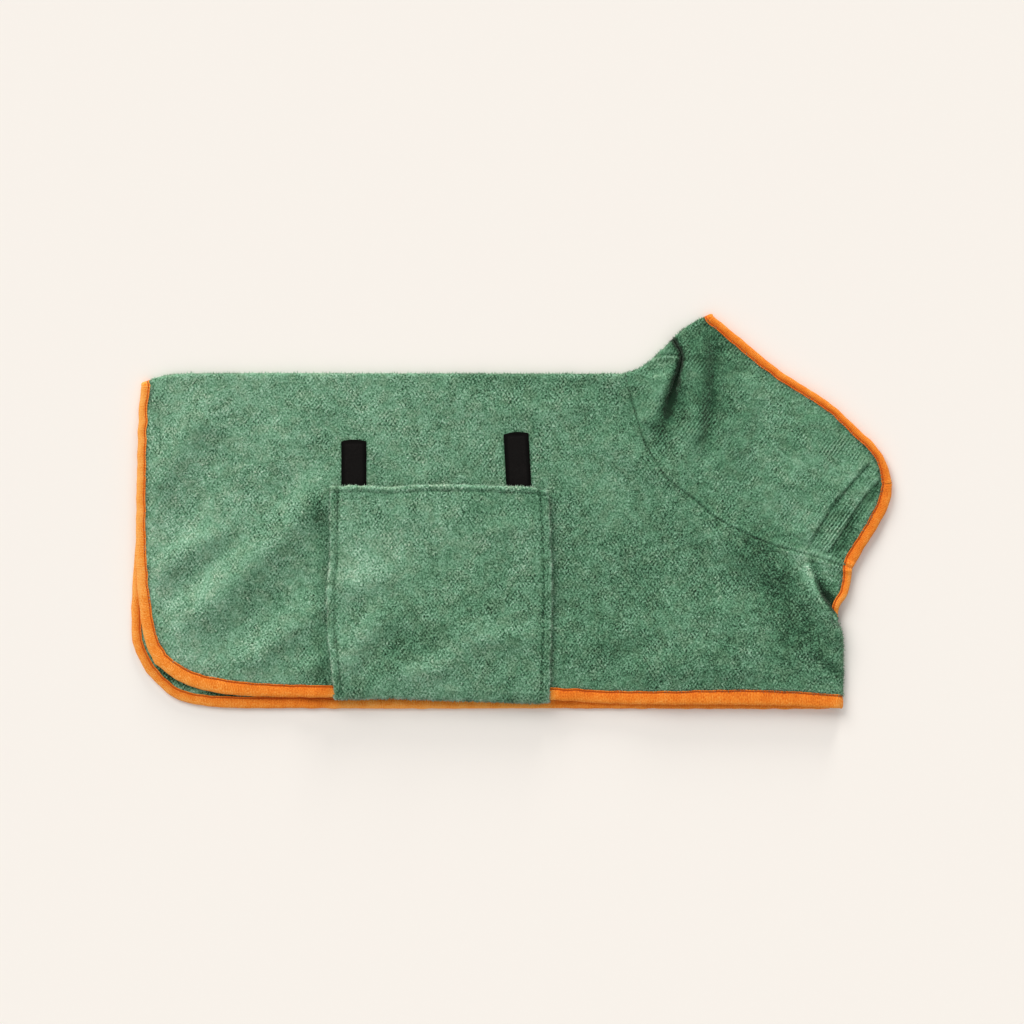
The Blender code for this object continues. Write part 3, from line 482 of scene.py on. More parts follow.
def outlines():
    """The raw edges of the panels, as smooth curves."""
    line = {
        "near_tail": inset(near_of(TAIL), RAW),
        "near_hem": inset(near_of(HEM), RAW),
        "near_front": inset(near_of(FRONT), RAW),
        "far_tail": inset(far_of(TAIL), RAW),
        "far_hem": inset(far_of(HEM), RAW),
        "far_front": far_of(FRONT),
        "neck": through(NECK),
        "spine": inset(through(SPINE), FOLD_REACH),
        "collar_front": inset(through(COLLAR_FRONT), RAW),
        "rim": inset(through(RIM), RAW),
        "nape": inset(through(NAPE), FOLD_REACH),
    }
    tail_top = line["spine"][-1]
    back = line["neck"][-1] + (line["spine"][0] - through(SPINE)[0])
    peak = line["nape"][0]
    throat = (line["rim"][0] + line["collar_front"][-1]) / 2
    seam_end = (line["near_front"][-1] + line["collar_front"][0]) / 2
    for side in ("near", "far"):
        corner = (line[side + "_tail"][-1] + line[side + "_hem"][0]) / 2
        line[side + "_tail"] = pinned(line[side + "_tail"], tail_top, corner)
        front, hem = line[side + "_front"], line[side + "_hem"]
        front_low = np.array([front[0, 0], hem[-1, 1]])
        line[side + "_hem"] = pinned(hem, corner, front_low)
        line[side + "_front"] = pinned(front, front_low, front[-1])
    line["near_front"] = pinned(line["near_front"], line["near_front"][0], seam_end)
    line["neck"] = pinned(line["neck"], seam_end, back)
    line["spine"] = pinned(line["spine"], back, tail_top)
    line["nape"] = pinned(line["nape"], peak, back)
    line["rim"] = pinned(line["rim"], throat, peak)
    line["collar_front"] = pinned(line["collar_front"], seam_end, throat)
    far_inset = FAR_INSET * ramp(np.linspace(0, 1, DENSE), 1.0, 0.85)
    line["far_rim"] = inset(line["rim"], far_inset)
    line["far_collar_front"] = pinned(
        inset(line["collar_front"], FAR_INSET), line["far_front"][-1], line["far_rim"][0]
    )
    return line


def bound_edge(curves, widths):
    """Curves that follow each other, joined into one edge with its tape's widths."""
    whole = np.vstack(curves)
    return BoundEdge(at(whole, np.linspace(0, 1, BOUND_EDGE_POINTS)), widths)


LINE = outlines()
CHEST_EDGE = LINE["near_front"][::-1][LINE["near_front"][::-1, 1] > CHEST_BOUND_Y]
NEAR_HEM_EDGE = bound_edge([LINE["near_tail"], LINE["near_hem"]], NEAR_HEM_WIDTHS)
NEAR_NECK_EDGE = bound_edge(
    [LINE["rim"][::-1], LINE["collar_front"][::-1], CHEST_EDGE], NEAR_NECK_WIDTHS
)
FAR_HEM_EDGE = bound_edge([LINE["far_tail"], LINE["far_hem"]], FAR_HEM_WIDTHS)
FAR_NECK_EDGE = bound_edge(
    [LINE["far_rim"][::-1], LINE["far_collar_front"][::-1]], FAR_NECK_WIDTHS
)


# --- heights of the walls' middles ---


def relief(creases, x, y):
    total = np.zeros_like(x)
    t = np.linspace(0, 1, CREASE_POINTS)[:, None]
    for c in creases:
        ends = np.array([(c.x0, c.y0), (c.x1, c.y1), (c.x2, c.y2)], float)
        bend = 2 * ends[1] - (ends[0] + ends[2]) / 2
        curve = (1 - t) ** 2 * ends[0] + 2 * t * (1 - t) * bend + t**2 * ends[2]
        distance, share, _ = near_curve(curve, x, y)
        fade = within(share, 0.12, 0.88) * 0.6 + 0.4
        total += c.height * fade * bell(distance, c.width)
    return total


def waves(kinds, x, y):
    """Smooth random waves, of several heights and lengths together."""
    total = 0
    for wave in kinds:
        places = zip(np.ravel(x) / wave.length, np.ravel(y) / wave.length)
        flat = [noise.noise(Vector((a, b, wave.seed))) for a, b in places]
        total = total + wave.height * np.reshape(flat, np.shape(x))
    return total


def tape_width(edge, share):
    return np.interp(share, *np.transpose(edge.widths))


def beyond_tapes(edges, x, y):
    """Distance in from the nearest tape's inner edge; negative under the tape."""
    gaps = []
    for edge in edges:
        distance, share, _ = near_curve(edge.curve, x, y)
        gaps.append(distance - tape_width(edge, share) + RAW)
    return np.min(gaps, axis=0)


def beyond_far_tapes(x, y):
    return beyond_tapes((FAR_HEM_EDGE, FAR_NECK_EDGE), x, y)


def beyond_near_tapes(x, y):
    return beyond_tapes((NEAR_HEM_EDGE, NEAR_NECK_EDGE), x, y)


def tab_lift(x, y, clear, ease, ease_up):
    """How far the chest tab lifts the cloth over it."""
    beyond, above = clear
    from_tip = ramp(x, TAB_TIP_X - beyond - ease, TAB_TIP_X - beyond)
    return TAB_LIFT * from_tip * (1 - ramp(y, TAB_TOP_Y + above, TAB_TOP_Y + above + ease_up))


def far_height(x, y):
    gripped = 1 - ramp(beyond_far_tapes(x, y), 0.0, EASE_FAR)
    lifted = FAR_FLAT + tab_lift(x, y, FAR_CLEAR, TAB_EASE, TAB_EASE_UP)
    return (1 - gripped) * lifted + gripped * FAR_EDGE


def near_stack(x, y):
    """How far the flap's root and the chest tab lift the near side."""
    beside, above = ROOT_CLEAR
    left = ramp(x, FLAP_LEFT_X - beside - ROOT_EASE, FLAP_LEFT_X - beside)
    right = 1 - ramp(x, FLAP_RIGHT_X + beside, FLAP_RIGHT_X + beside + ROOT_EASE)
    low = 1 - ramp(y, FLAP_ROOT_Y + above, FLAP_ROOT_Y + above + ROOT_EASE)
    under_flap = FLAP_LIFT * left * right * low
    return under_flap + tab_lift(x, y, NEAR_CLEAR, NEAR_TAB_EASE, NEAR_TAB_EASE)


def chest_fold(x, y):
    """The overhanging fold: a soft back on its left and a steep drop on its right."""
    distance, share, side = near_curve(through(CHEST_FOLD)[::8], x, y)
    grown = ramp(share, -0.02, 0.5)
    back = 0.85 * bell(distance, 17.0) + 0.15 * bell(distance, 5.0)
    drop = 1 - ramp(distance, 0.0, 2.4)
    hollow = -1.2 * bell(distance - 4.0, 3.0)
    return CHEST_FOLD_HEIGHT * grown * np.where(side > 0, drop, back) + hollow * grown * (side > 0)


def tuck(x, y):
    """The pressed tuck: a narrow deep valley at its top that opens and fades downwards."""
    distance, share, _ = near_curve(through(TUCK)[::8], x, y)
    width = 1.8 + 1.8 * ramp(share, 0.30, 0.55) + 4.0 * ramp(share, 0.55, 0.95)
    depth = TUCK_DEPTH * (1 - 0.75 * ramp(share, 0.5, 1.0)) * (1 - ramp(share, 0.93, 1.0))
    near_top = 1 - ramp(share, 0.45, 0.95)
    shoulders = TUCK_SHOULDERS * near_top * bell(distance - width - 3, 6.0)
    return shoulders - depth * bell(distance, width)


def tuck_seam(x, y):
    """The lapped seam beside the tuck: a sharp lip below it and a step down above it."""
    distance, share, side = near_curve(through(TUCK_SEAM)[::8], x, y)
    below = side < 0
    lip = 1.6 * bell(distance, 5.0) * below
    dip = -0.8 * bell(distance, 2.0) * ~below
    return (lip + dip) * within(share, 0.1, 0.97)


def stitched_steps(x, y):
    """Steps down at the collar's two rows of stitching, with fine ribs between them."""
    total = np.zeros_like(x)
    for row, height in ((STITCH_ROW_REAR, 2.4), (STITCH_ROW_FRONT, 2.0)):
        distance, share, side = near_curve(through(row)[::8], x, y)
        inside = within(share, 0.05, 0.96)
        ahead = -distance * side
        step = ramp(ahead, -0.8, 1.2) * (1 - ramp(ahead, 3.0, 26.0))
        groove = 0.3 * bell(ahead + 0.4, 1.1)
        total += inside * (height * step - groove)
    return total


def seam_relief(x, y):
    """The neck seam: a puckered groove between two rounded edges, shallower towards the throat."""
    distance, share, _ = near_curve(LINE["neck"][::6], x, y)
    piped = 1 - ramp(share, 0.30, 0.48)
    rise = (0.5 + 0.7 * piped) * bell(distance - 2.8, 2.2)
    pucker = waves(SEAM_PUCKERS, share * NECK_LENGTH, share) * bell(distance, 5.0)
    return rise + pucker - (1.4 - 0.7 * piped) * bell(distance, 1.2)


def near_height(x, y):
    beyond = beyond_near_tapes(x, y)
    gripped = 1 - ramp(beyond, 0.0, EASE_NEAR)
    raised = RELIEF_SCALE * relief(BODY_CREASES + COLLAR_CREASES, x, y) + FULLNESS
    raised = np.clip(raised + waves(NEAR_WAVES, x, y), 0.0, MOST_RELIEF) * (1 - gripped)
    puckers = waves(TAPE_PUCKERS, x, y) * ramp(beyond, 0.0, 4.0) * (1 - ramp(beyond, 8.0, 22.0))
    flat = (1 - gripped) * NEAR_FLAT + gripped * NEAR_EDGE
    height = flat + near_stack(x, y) + raised + puckers
    details = chest_fold(x, y) + stitched_steps(x, y) + seam_relief(x, y) + tuck(x, y) + tuck_seam(x, y)
    lowest = far_height(x, y) + TERRY + 0.4
    return np.maximum(height + details, lowest)


# Painted shade and painted highlights that follow a line: how far to the line's left each lies, its
# half width and its tone. They darken the neck seam's groove, the shaded sides of the collar's
# stitched steps, the hollow right of the chest fold, the cloth in the flap's shade and the lapped seam
# by the tuck, and lighten the crests and lips beside them.
PAINTED_LIGHT_LINES = [
    PaintedLightLine(LINE["neck"][DENSE // 4 :], 0.0, 1.1, -0.15),
    PaintedLightLine(LINE["neck"][: DENSE // 4], 0.0, 1.0, -0.05),
    PaintedLightLine(LINE["neck"][: DENSE // 2], -3.0, 1.8, 0.06),
    PaintedLightLine(LINE["neck"][: DENSE // 4], 3.6, 1.6, 0.12),
    PaintedLightLine(through(STITCH_ROW_REAR), 0.8, 0.9, -0.12),
    PaintedLightLine(through(STITCH_ROW_REAR), -3.0, 3.0, 0.09),
    PaintedLightLine(through(STITCH_ROW_REAR), 5.0, 4.0, -0.05),
    PaintedLightLine(through(STITCH_ROW_FRONT), -3.0, 3.0, 0.07),
    PaintedLightLine(through(STITCH_ROW_FRONT), -1.4, 1.2, 0.08),
    PaintedLightLine(through(STITCH_ROW_FRONT), 1.3, 1.2, -0.12),
    PaintedLightLine(through(STITCH_ROW_FRONT), 5.5, 5.5, -0.17),
    PaintedLightLine(through(CHEST_FOLD), 5.0, 4.8, -0.24),
    PaintedLightLine(through(CHEST_FOLD), -5.5, 6.5, 0.08),
    PaintedLightLine(through(CHEST_FOLD), -1.5, 1.6, 0.24),
    PaintedLightLine(through(BESIDE_FLAP), 0.0, 6.0, -0.12),
    PaintedLightLine(through(TUCK_SEAM), 1.2, 1.2, -0.12),
    PaintedLightLine(through(TUCK_SEAM), -1.0, 1.2, 0.22),
]


def soft_bands(bands_of_nap, x, y):
    tone = np.zeros_like(x)
    for n in bands_of_nap:
        ends = np.array([(n.x0, n.y0), (n.x1, n.y1)], float)
        tone += n.tone * bell(distance_to(ends, x, y), n.width)
    return tone


def tone_and_painted_light_at(x, y):
    """Tone of the pile about zero: paler towards the tail, with soft bands that are partly the pile's
    own tone and partly painted shade and highlights, and with lines of painted shade and highlight.
    """
    tone = 0.16 * (1 - ramp(x, -340.0, 180.0)) - 0.07 + soft_bands(NAP_AND_PAINTED_LIGHT, x, y)
    for n in PAINTED_LIGHT_LINES:
        distance, share, side = near_curve(n.curve[::8], x, y)
        inside = within(share, 0.06, 0.94)
        away = distance * side - n.shift
        tone = tone + n.tone * inside * bell(away, n.width)
    return tone


def raised_to(plan, height):
    """Plan points (..., 2) with their heights, as (..., 3)."""
    return np.concatenate([plan, height(plan[..., 0], plan[..., 1])[..., None]], axis=-1)


def full_wall(points, beyond):
    """0 under a tape, where the wall is pressed, and 1 where it has its whole thickness."""
    return ramp(beyond(points[..., 0], points[..., 1]), -1.0, WALL_EASE)


# --- meshes ---


def mesh_object(name, vertices, faces, finish):
    mesh = bpy.data.meshes.new(name)
    mesh.from_pydata([tuple(v) for v in np.asarray(vertices) * MM], [], faces)
    mesh.materials.append(finish)
    mesh.update()
    mesh.shade_smooth()
    made = bpy.data.objects.new(name, mesh)
    bpy.context.collection.objects.link(made)
    return made


def mark(piece, name, values):
    """Stores one number for each point, for the piece's material to read."""
    layer = piece.data.attributes.new(name, "FLOAT", "POINT")
    layer.data.foreach_set("value", np.asarray(values, np.float32))


def select_only(*pieces):
    """Selects these pieces and nothing else, with the last one active."""
    bpy.ops.object.select_all(action="DESELECT")
    for piece in pieces:
        piece.select_set(True)
    bpy.context.view_layer.objects.active = pieces[-1]


def apply_modifiers(piece):
    select_only(piece)
    for modifier in list(piece.modifiers):
        bpy.ops.object.modifier_apply(modifier=modifier.name)
    piece.select_set(False)


def grid_faces(kept):
    columns, rows = kept.shape
    index = np.full((columns, rows), -1)
    index[kept] = np.arange(kept.sum())
    cells = kept[:-1, :-1] & kept[1:, :-1] & kept[1:, 1:] & kept[:-1, 1:]
    i, j = np.nonzero(cells)
    corners = np.stack([index[i, j], index[i + 1, j], index[i + 1, j + 1], index[i, j + 1]], axis=1)
    return corners.tolist()


def cloth(name, grid, wall, finish, share=None):
    """A wall of cloth about a grid of points; a cell with a missing corner stays open."""
    kept = np.isfinite(grid[..., 0])
    piece = mesh_object(name, grid[kept], grid_faces(kept), finish)
    solid = piece.modifiers.new("Wall", "SOLIDIFY")
    solid.thickness = wall * MM
    solid.offset = 0.0
    if share is not None:
        group = piece.vertex_groups.new(name="full wall")
        for vertex, weight in enumerate(share[kept]):
            group.add([vertex], float(weight), "REPLACE")
        solid.vertex_group = group.name
        solid.thickness_vertex_group = PRESSED
    apply_modifiers(piece)
    piece.vertex_groups.clear()
    return piece


def read(parts, name):
    """One vector for each vertex or face, as rows."""
    flat = np.empty(len(parts) * 3)
    parts.foreach_get(name, flat)
    return flat.reshape(-1, 3)


def read_points(piece):
    return read(piece.data.vertices, "co") / MM


def write_points(piece, points):
    piece.data.vertices.foreach_set("co", (points * MM).ravel())
    piece.data.update()


def tufted(piece, amount):
    """Pushes a terry wall in and out by its loops and clumps, so that its edges aren't smooth."""
    normals = read(piece.data.vertices, "normal")
    points = read_points(piece)
    lumps = []
    for p in points:
        fine = noise.noise(Vector(p / 2.6))
        clump = noise.noise(Vector(p / 7.0) + Vector((9.0, 4.0, 2.0)))
        lumps.append(0.6 * fine + 0.4 * clump)
    points += normals * (np.array(lumps) * amount)[:, None]
    points[:, 2] = np.maximum(points[:, 2], LOWEST)
    write_points(piece, points)


def add_tufts(piece, feet, ways, seed):
    """Small pointed tufts of pile, each a closed four-sided shell with its foot in the cloth."""
    chance = np.random.default_rng(seed)
    count = len(feet)
    ways = ways + chance.normal(0, TUFT_LEAN, (count, 3))
    ways /= np.linalg.norm(ways, axis=1)[:, None]
    helper = np.where(np.abs(ways[:, 2:]) < 0.8, [[0.0, 0.0, 1.0]], [[1.0, 0.0, 0.0]])
    first = np.cross(helper, ways)
    first /= np.linalg.norm(first, axis=1)[:, None]
    second = np.cross(ways, first)
    radius = chance.uniform(*TUFT_RADIUS, (count, 1))
    corners = [feet + ways * chance.uniform(*TUFT_LENGTH, (count, 1))]
    for angle in np.radians((0.0, 120.0, 240.0)):
        rim = (first * np.cos(angle) + second * np.sin(angle)) * radius
        corners.append(feet - ways * TUFT_FOOT + rim)
    points = np.stack(corners, axis=1).reshape(-1, 3)
    points[:, 2] = np.maximum(points[:, 2], LOWEST)
    shell = [(1, 2, 0), (2, 3, 0), (3, 1, 0), (3, 2, 1)]
    faces = [(k + a, k + b, k + c) for k in range(0, 4 * count, 4) for a, b, c in shell]
    tufts = mesh_object(piece.name + "_tufts", points, faces, piece.data.materials[0])
    select_only(tufts, piece)
    bpy.ops.object.join()
    piece.select_set(False)


def face_centres(piece):
    """Centres, in millimetres, and normals of the piece's faces."""
    return read(piece.data.polygons, "center") / MM, read(piece.data.polygons, "normal")


def pile_on_edges(piece, wanted, count, seed):
    """Tufts on the faces that turn away from the camera, where the place is wanted."""
    centres, normals = face_centres(piece)
    sideways = np.nonzero((np.abs(normals[:, 2]) < TURNED_AWAY) & wanted(centres))[0]
    chance = np.random.default_rng(seed)
    picks = chance.choice(sideways, count)
    feet = centres[picks] + chance.normal(0, 0.7, (count, 3)) * (1, 1, 0.4)
    feet -= normals[picks] * ((feet - centres[picks]) * normals[picks]).sum(1)[:, None]
    add_tufts(piece, feet, normals[picks], seed + 1)


def pile_over_tapes(piece, count, seed):
    """Tufts of the near side's upper face that lean over the tapes' inner edges."""
    centres, normals = face_centres(piece)
    gap = beyond_near_tapes(centres[:, 0], centres[:, 1])
    upper = (normals[:, 2] > 0.3) & (centres[:, 2] > NEAR_FLAT)
    beside_tape = np.nonzero(upper & (gap > 0.1) & (gap < 2.2))[0]
    chance = np.random.default_rng(seed)
    picks = chance.choice(beside_tape, count)
    feet = centres[picks] + chance.normal(0, 0.8, (count, 3)) * (1, 1, 0)
    x, y = feet[:, 0], feet[:, 1]
    uphill = [
        beyond_near_tapes(x + dx, y + dy) - beyond_near_tapes(x - dx, y - dy)
        for dx, dy in ((1.0, 0.0), (0.0, 1.0))
    ]
    to_tape = -np.stack(uphill, axis=1)
    to_tape /= np.maximum(np.linalg.norm(to_tape, axis=1), 1e-6)[:, None]
    ways = np.concatenate([to_tape * 0.9, np.full((count, 1), 0.75)], axis=1)
    add_tufts(piece, feet, ways, seed + 1)


# The binding's section: across from its inner edge to the raw edge and back underneath, and up
BINDING_SECTION = [
    (8.9, 1.40), (8.75, 1.95), (8.2, 2.10), (7.7, 1.85), (7.2, 1.42), (6.7, 1.62), (6.0, 1.98),
    (4.8, 2.22), (3.2, 2.32), (1.6, 2.25), (0.4, 1.98), (-0.5, 1.45), (-1.0, 0.75), (-1.1, 0.0),
    (-1.0, -0.75), (-0.5, -1.45), (0.6, -1.95), (2.0, -2.13), (8.6, -2.13), (8.9, -1.95),
    (8.9, -1.40), (-0.3, -1.35), (-0.3, 1.35),
]
# How the tape varies along its run: how much, in millimetres or as a share, and over what length
SWAY = (0.8, 15.0)
LEAN = (0.7, 11.0)
SWELL = (0.09, 8.0)
TURNED_TIGHT = 0.82  # share of its thickness where it turns on its side round a fold
WIDENS_FROM = 1.6  # a wider tape is wider only inwards from here, over the next length
WIDENS_OVER = 4.4
UNDERSIDE = -1.4  # what lies lower in the section stays where it is when the tape leans


def inward(path):
    """Mitred directions into the cloth, along a path of raw-edge points with the cloth on its left."""
    steps = np.diff(path[:, :2], axis=0)
    steps /= np.linalg.norm(steps, axis=1)[:, None]
    before = np.vstack([steps[:1], steps])
    after = np.vstack([steps, steps[-1:]])
    along = before + after
    along /= np.linalg.norm(along, axis=1)[:, None]
    stretch = 1 / (along * after).sum(1)
    return np.stack([-along[:, 1], along[:, 0]], axis=1) * stretch[:, None]


def upright(path, into):
    up = np.cross(np.gradient(path, axis=0), into)
    up *= np.sign(up[len(up) // 2, 2])
    return up / np.linalg.norm(up, axis=1)[:, None]


def binding(name, path, into, edge, finish, seed):
    """Folded tape that grips the raw edge, with a row of stitches near its inner edge."""
    widths = tape_width(edge, near_curve(edge.curve, path[:, 0], path[:, 1])[1])
    into = np.concatenate([into, np.zeros((len(into), 1))], axis=1)
    up = upright(path, into)
    along = length_along(path)
    size = len(BINDING_SECTION)
    rings = []
    for p, d, u, s, w in zip(path, into, up, along, widths):
        sway, lean, swell = (
            most * noise.noise(Vector((s / length, seed, draw)))
            for (most, length), draw in ((SWAY, 0.0), (LEAN, 9.0), (SWELL, 5.0))
        )
        swell += 1
        tight = TURNED_TIGHT if abs(u[2]) < 0.8 else 1.0
        wider = w - BINDING + sway
        ring = []
        for across, height in BINDING_SECTION:
            shift = wider * min(max((across - WIDENS_FROM) / WIDENS_OVER, 0.0), 1.0)
            shift += lean * (height > UNDERSIDE)
            ring.append(p + d * (across + shift) + u * height * swell * tight)
        rings.append(ring)
    faces = [
        (k * size + a, k * size + (a + 1) % size, (k + 1) * size + (a + 1) % size, (k + 1) * size + a)
        for k in range(len(path) - 1)
        for a in range(size)
    ]
    faces.append(tuple(reversed(range(size))))
    faces.append(tuple(range((len(path) - 1) * size, len(path) * size)))
    points = np.array(rings).reshape(-1, 3)
    points[:, 2] = np.maximum(points[:, 2], LOWEST)
    piece = mesh_object(name, points, faces, finish)
    add_tape_uv(piece, along, size)
    face_outwards(piece)
    return piece


def add_tape_uv(piece, along, size):
    """U runs along the tape and V across it from the raw edge, both in millimetres."""
    across = [a for a, _ in BINDING_SECTION]
    layer = piece.data.uv_layers.new(name="Tape")
    for loop in piece.data.loops:
        ring, corner = divmod(loop.vertex_index, size)
        layer.data[loop.index].uv = (along[ring], across[corner])


def face_outwards(piece):
    select_only(piece)
    bpy.ops.object.mode_set(mode="EDIT")
    bpy.ops.mesh.select_all(action="SELECT")
    bpy.ops.mesh.normals_make_consistent(inside=False)
    bpy.ops.object.mode_set(mode="OBJECT")
    piece.select_set(False)


def parted(path, at_start, at_end):
    """The path with its ends drawn in, so that it stays clear of the next piece."""
    path = path.copy()
    for end, beside, gap in ((0, 1, at_start), (-1, -2, at_end)):
        step = path[beside] - path[end]
        path[end] += step / np.linalg.norm(step) * gap
    return path


# --- body and collar ---


def turned_fold(near, far, outward):
    """The rows of points that go round a fold from the near edge to the far one."""
    middle, half = (near + far) / 2, (near - far) / 2
    out = np.concatenate([outward, np.zeros((len(outward), 1))], axis=1) * FOLD
    turns = [
        middle + half * np.cos(np.radians(a)) + out * np.sin(np.radians(a)) for a in FOLD_ANGLES
    ]
    return np.stack(turns, axis=1)


def towards_front(count, lean=BODY_LEAN):
    """Shares from 0 to 1 that get closer to each other towards the front."""
    t = np.linspace(0, 1, count + 1)
    return t + lean * t * (1 - t)


def neck_points(count, lean=BODY_LEAN):
    neck = LINE["neck"][::-1]
    stop = 1 - FRONT_INNER / length_along(neck)[-1]
    return at(neck, np.append(stop * towards_front(count, lean), 1.0))


def seam_side(points, towards_collar):
    """The seam's edge of the body or of the collar, with more room at the back of the neck."""
    across = left_normals(points) * (1 if towards_collar else -1)
    room = SEAM / 2 + np.linspace(1, 0, len(points)) ** 60 * 0.9
    return points + across * room[:, None]


def even_rows(station, count):
    return at(station, np.linspace(0.0, 1.0, count + 1))


def body_side(side, top, rows):
    hem, tail = LINE[side + "_hem"], LINE[side + "_tail"][::-1]
    front = LINE[side + "_front"]
    hem_stop = 1 - FRONT_INNER / length_along(hem)[-1]
    below_spine = np.linspace(0, HEM_SHARE_AT_NECK, SPINE_STATIONS + 1)
    below_neck = HEM_SHARE_AT_NECK + (hem_stop - HEM_SHARE_AT_NECK) * towards_front(NECK_STATIONS)[1:]
    low = at(hem, np.concatenate([below_spine, below_neck]))
    inner_front = pinned(inset(front, FRONT_INNER), low[-1], top[-1])
    vs = np.linspace(0, 1, BODY_SIDE_POINTS)
    us = np.linspace(0, 1, len(low))
    plan = patch(low, top, at(tail, vs), at(inner_front, vs), us, vs)
    return np.stack([even_rows(station, rows) for station in plan])


def near_front_strip(inner, edge):
    """The near side's last stations: flat under the chest's binding, rolled over at the front fold."""
    rolled = 1 - ramp(edge[:, 1], *ROLL_TOP)
    start = 1 - FRONT_ROLL / FRONT_INNER
    count = len(ROLL_ANGLES)
    ends = (0.0,) * (count - 1) + (ROLL_END,)
    stations = []
    for angle, even, end in zip(np.radians(ROLL_ANGLES), np.linspace(0, 1, count), ends):
        reach = start + (1 - start) * (rolled * np.sin(angle) + (1 - rolled) * even)
        plan = inner + (edge - inner) * reach[:, None]
        level = near_height(plan[:, 0], plan[:, 1])
        drop = (1 - np.cos(angle)) * rolled * (level - FRONT_LOW - ROLL_END) + end * rolled
        stations.append(np.concatenate([plan, (level - drop)[:, None]], axis=1))
    return np.stack(stations)


def body_grid():
    """All of the body: rows run up the near side, over the spine fold and down the far side."""
    over_spine = at(LINE["spine"][::-1], np.linspace(0, 1, SPINE_STATIONS + 1))
    neck = seam_side(neck_points(NECK_STATIONS), False)
    top = np.vstack([over_spine, neck[1:-1]])
    near_plan = body_side("near", top, NEAR_ROWS)
    far_plan = body_side("far", top, FAR_ROWS)
    near_front = pinned(LINE["near_front"], LINE["near_hem"][-1], neck[-1])
    near_edge = even_rows(near_front, NEAR_ROWS)
    far_edge = even_rows(LINE["far_front"], FAR_ROWS)
    near_edge[:, 0] -= (TERRY / 2 - RAW) * (1 - ramp(near_edge[:, 1], *ROLL_TOP))
    near = raised_to(near_plan, near_height)
    near = np.concatenate([near, near_front_strip(near_plan[-1], near_edge)])
    far = raised_to(np.concatenate([far_plan, far_edge[None]]), far_height)[:, ::-1]
    folded = len(over_spine)
    outward = at(left_normals(LINE["spine"])[::-1] * -1, np.linspace(0, 1, folded))
    fold = turned_fold(near[:folded, -1], far[:folded, 0], outward)
    grid = np.full((len(near), near.shape[1] + fold.shape[1] + far.shape[1], 3), np.nan)
    grid[:, : near.shape[1]] = near
    grid[:folded, near.shape[1] : near.shape[1] + fold.shape[1]] = fold
    grid[: len(far), near.shape[1] + fold.shape[1] :] = far
    return grid, near.shape[1]


def collar_side(side, seam):
    prefix = "" if side == "near" else "far_"
    rim, front, nape = LINE[prefix + "rim"][::-1], LINE[prefix + "collar_front"], LINE["nape"][::-1]
    rim_stop = 1 - FRONT_INNER / length_along(rim)[-1]
    us = np.append((1 - FRONT_INNER / COLLAR_LENGTH) * towards_front(len(seam) - 2, COLLAR_LEAN), 1.0)
    shares = np.append(rim_stop * towards_front(len(seam) - 2, COLLAR_LEAN), 1.0)
    vs = np.linspace(0, 1, COLLAR_SIDE_POINTS)
    nape = pinned(nape, seam[0], rim[0])
    front = pinned(front, seam[-1], rim[-1])
    plan = patch(seam, at(rim, shares), at(nape, vs), at(front, vs), us, vs)
    return np.stack([even_rows(station[::-1], COLLAR_ROWS) for station in plan])


def collar_grid():
    points = neck_points(COLLAR_STATIONS, COLLAR_LEAN)
    near_seam = seam_side(points, True)
    far_seam = near_seam.copy()
    far_seam[-1] = LINE["far_front"][-1] + (near_seam[-1] - points[-1]) * 2
    near_plan = collar_side("near", near_seam)
    far_plan = collar_side("far", far_seam)
    edge = near_plan[-2] + (near_plan[-1] - near_plan[-2]) * np.linspace(0, 1, 7)[1:-1, None, None]
    near_plan = np.concatenate([near_plan[:-1], edge, near_plan[-1:]])
    near = raised_to(near_plan, near_height)[::-1]
    far = raised_to(far_plan[::4], far_height)
    far = np.concatenate([far, raised_to(far_plan[-1:], far_height)])
    outward = at(left_normals(LINE["nape"]) * -1, np.linspace(0, 1, near.shape[1]))
    fold = turned_fold(near[-1], far[0], outward)
    grid = np.concatenate([near, fold.transpose(1, 0, 2), far])
    return grid, len(near)


def share_of(grid, near_part):
    """How full a panel's wall is at each point, from 0 under a tape to 1 away from it."""
    share = np.ones(grid.shape[:2])
    share[near_part] = full_wall(grid[near_part], beyond_near_tapes)
    rest = np.ones(grid.shape[:2], bool)
    rest[near_part] = False
    share[rest] = full_wall(np.nan_to_num(grid[rest]), beyond_far_tapes)
    return share


# --- pieces that lie on others ---


def surface_of(objects):
    graph = bpy.context.evaluated_depsgraph_get()
    return [BVHTree.FromObject(o, graph) for o in objects]


ABOUT = [(0.0, 0.0)] + [
    (REST_REACH * np.cos(a), REST_REACH * np.sin(a)) for a in np.arange(0, 2 * np.pi, np.pi / 4)
]


def resting_height(carriers, x, y):
    """Height of the highest carrier about a point, in millimetres."""
    highest = 0.0
    for dx, dy in ABOUT:
        start = Vector(((x + dx) * MM, (y + dy) * MM, 0.1))
        for tree in carriers:
            hit = tree.ray_cast(start, Vector((0, 0, -1)))[0]
            if hit is not None:
                highest = max(highest, hit.z / MM)
    return highest


def laid_on(carriers, plan, wall, clearance):
    bottoms = [[resting_height(carriers, x, y) for x, y in column] for column in plan]
    return np.concatenate([plan, np.array(bottoms)[..., None] + clearance + wall / 2], axis=-1)


def neighbours(z):
    """The four values beside each one; the border's own stand in for those outside."""
    p = np.pad(z, 1, mode="edge")
    return p[:-2, 1:-1], p[2:, 1:-1], p[1:-1, :-2], p[1:-1, 2:]


def smoothed(grid, rounds):
    """Evens out a grid's heights, and never puts a point below where it was."""
    z = grid[..., 2].copy()
    for _ in range(rounds):
        mean = sum(neighbours(z)) / 4
        z = np.maximum(z * 0.5 + mean * 0.5, mean)
    grid[..., 2] = np.maximum(z, grid[..., 2])
    return grid


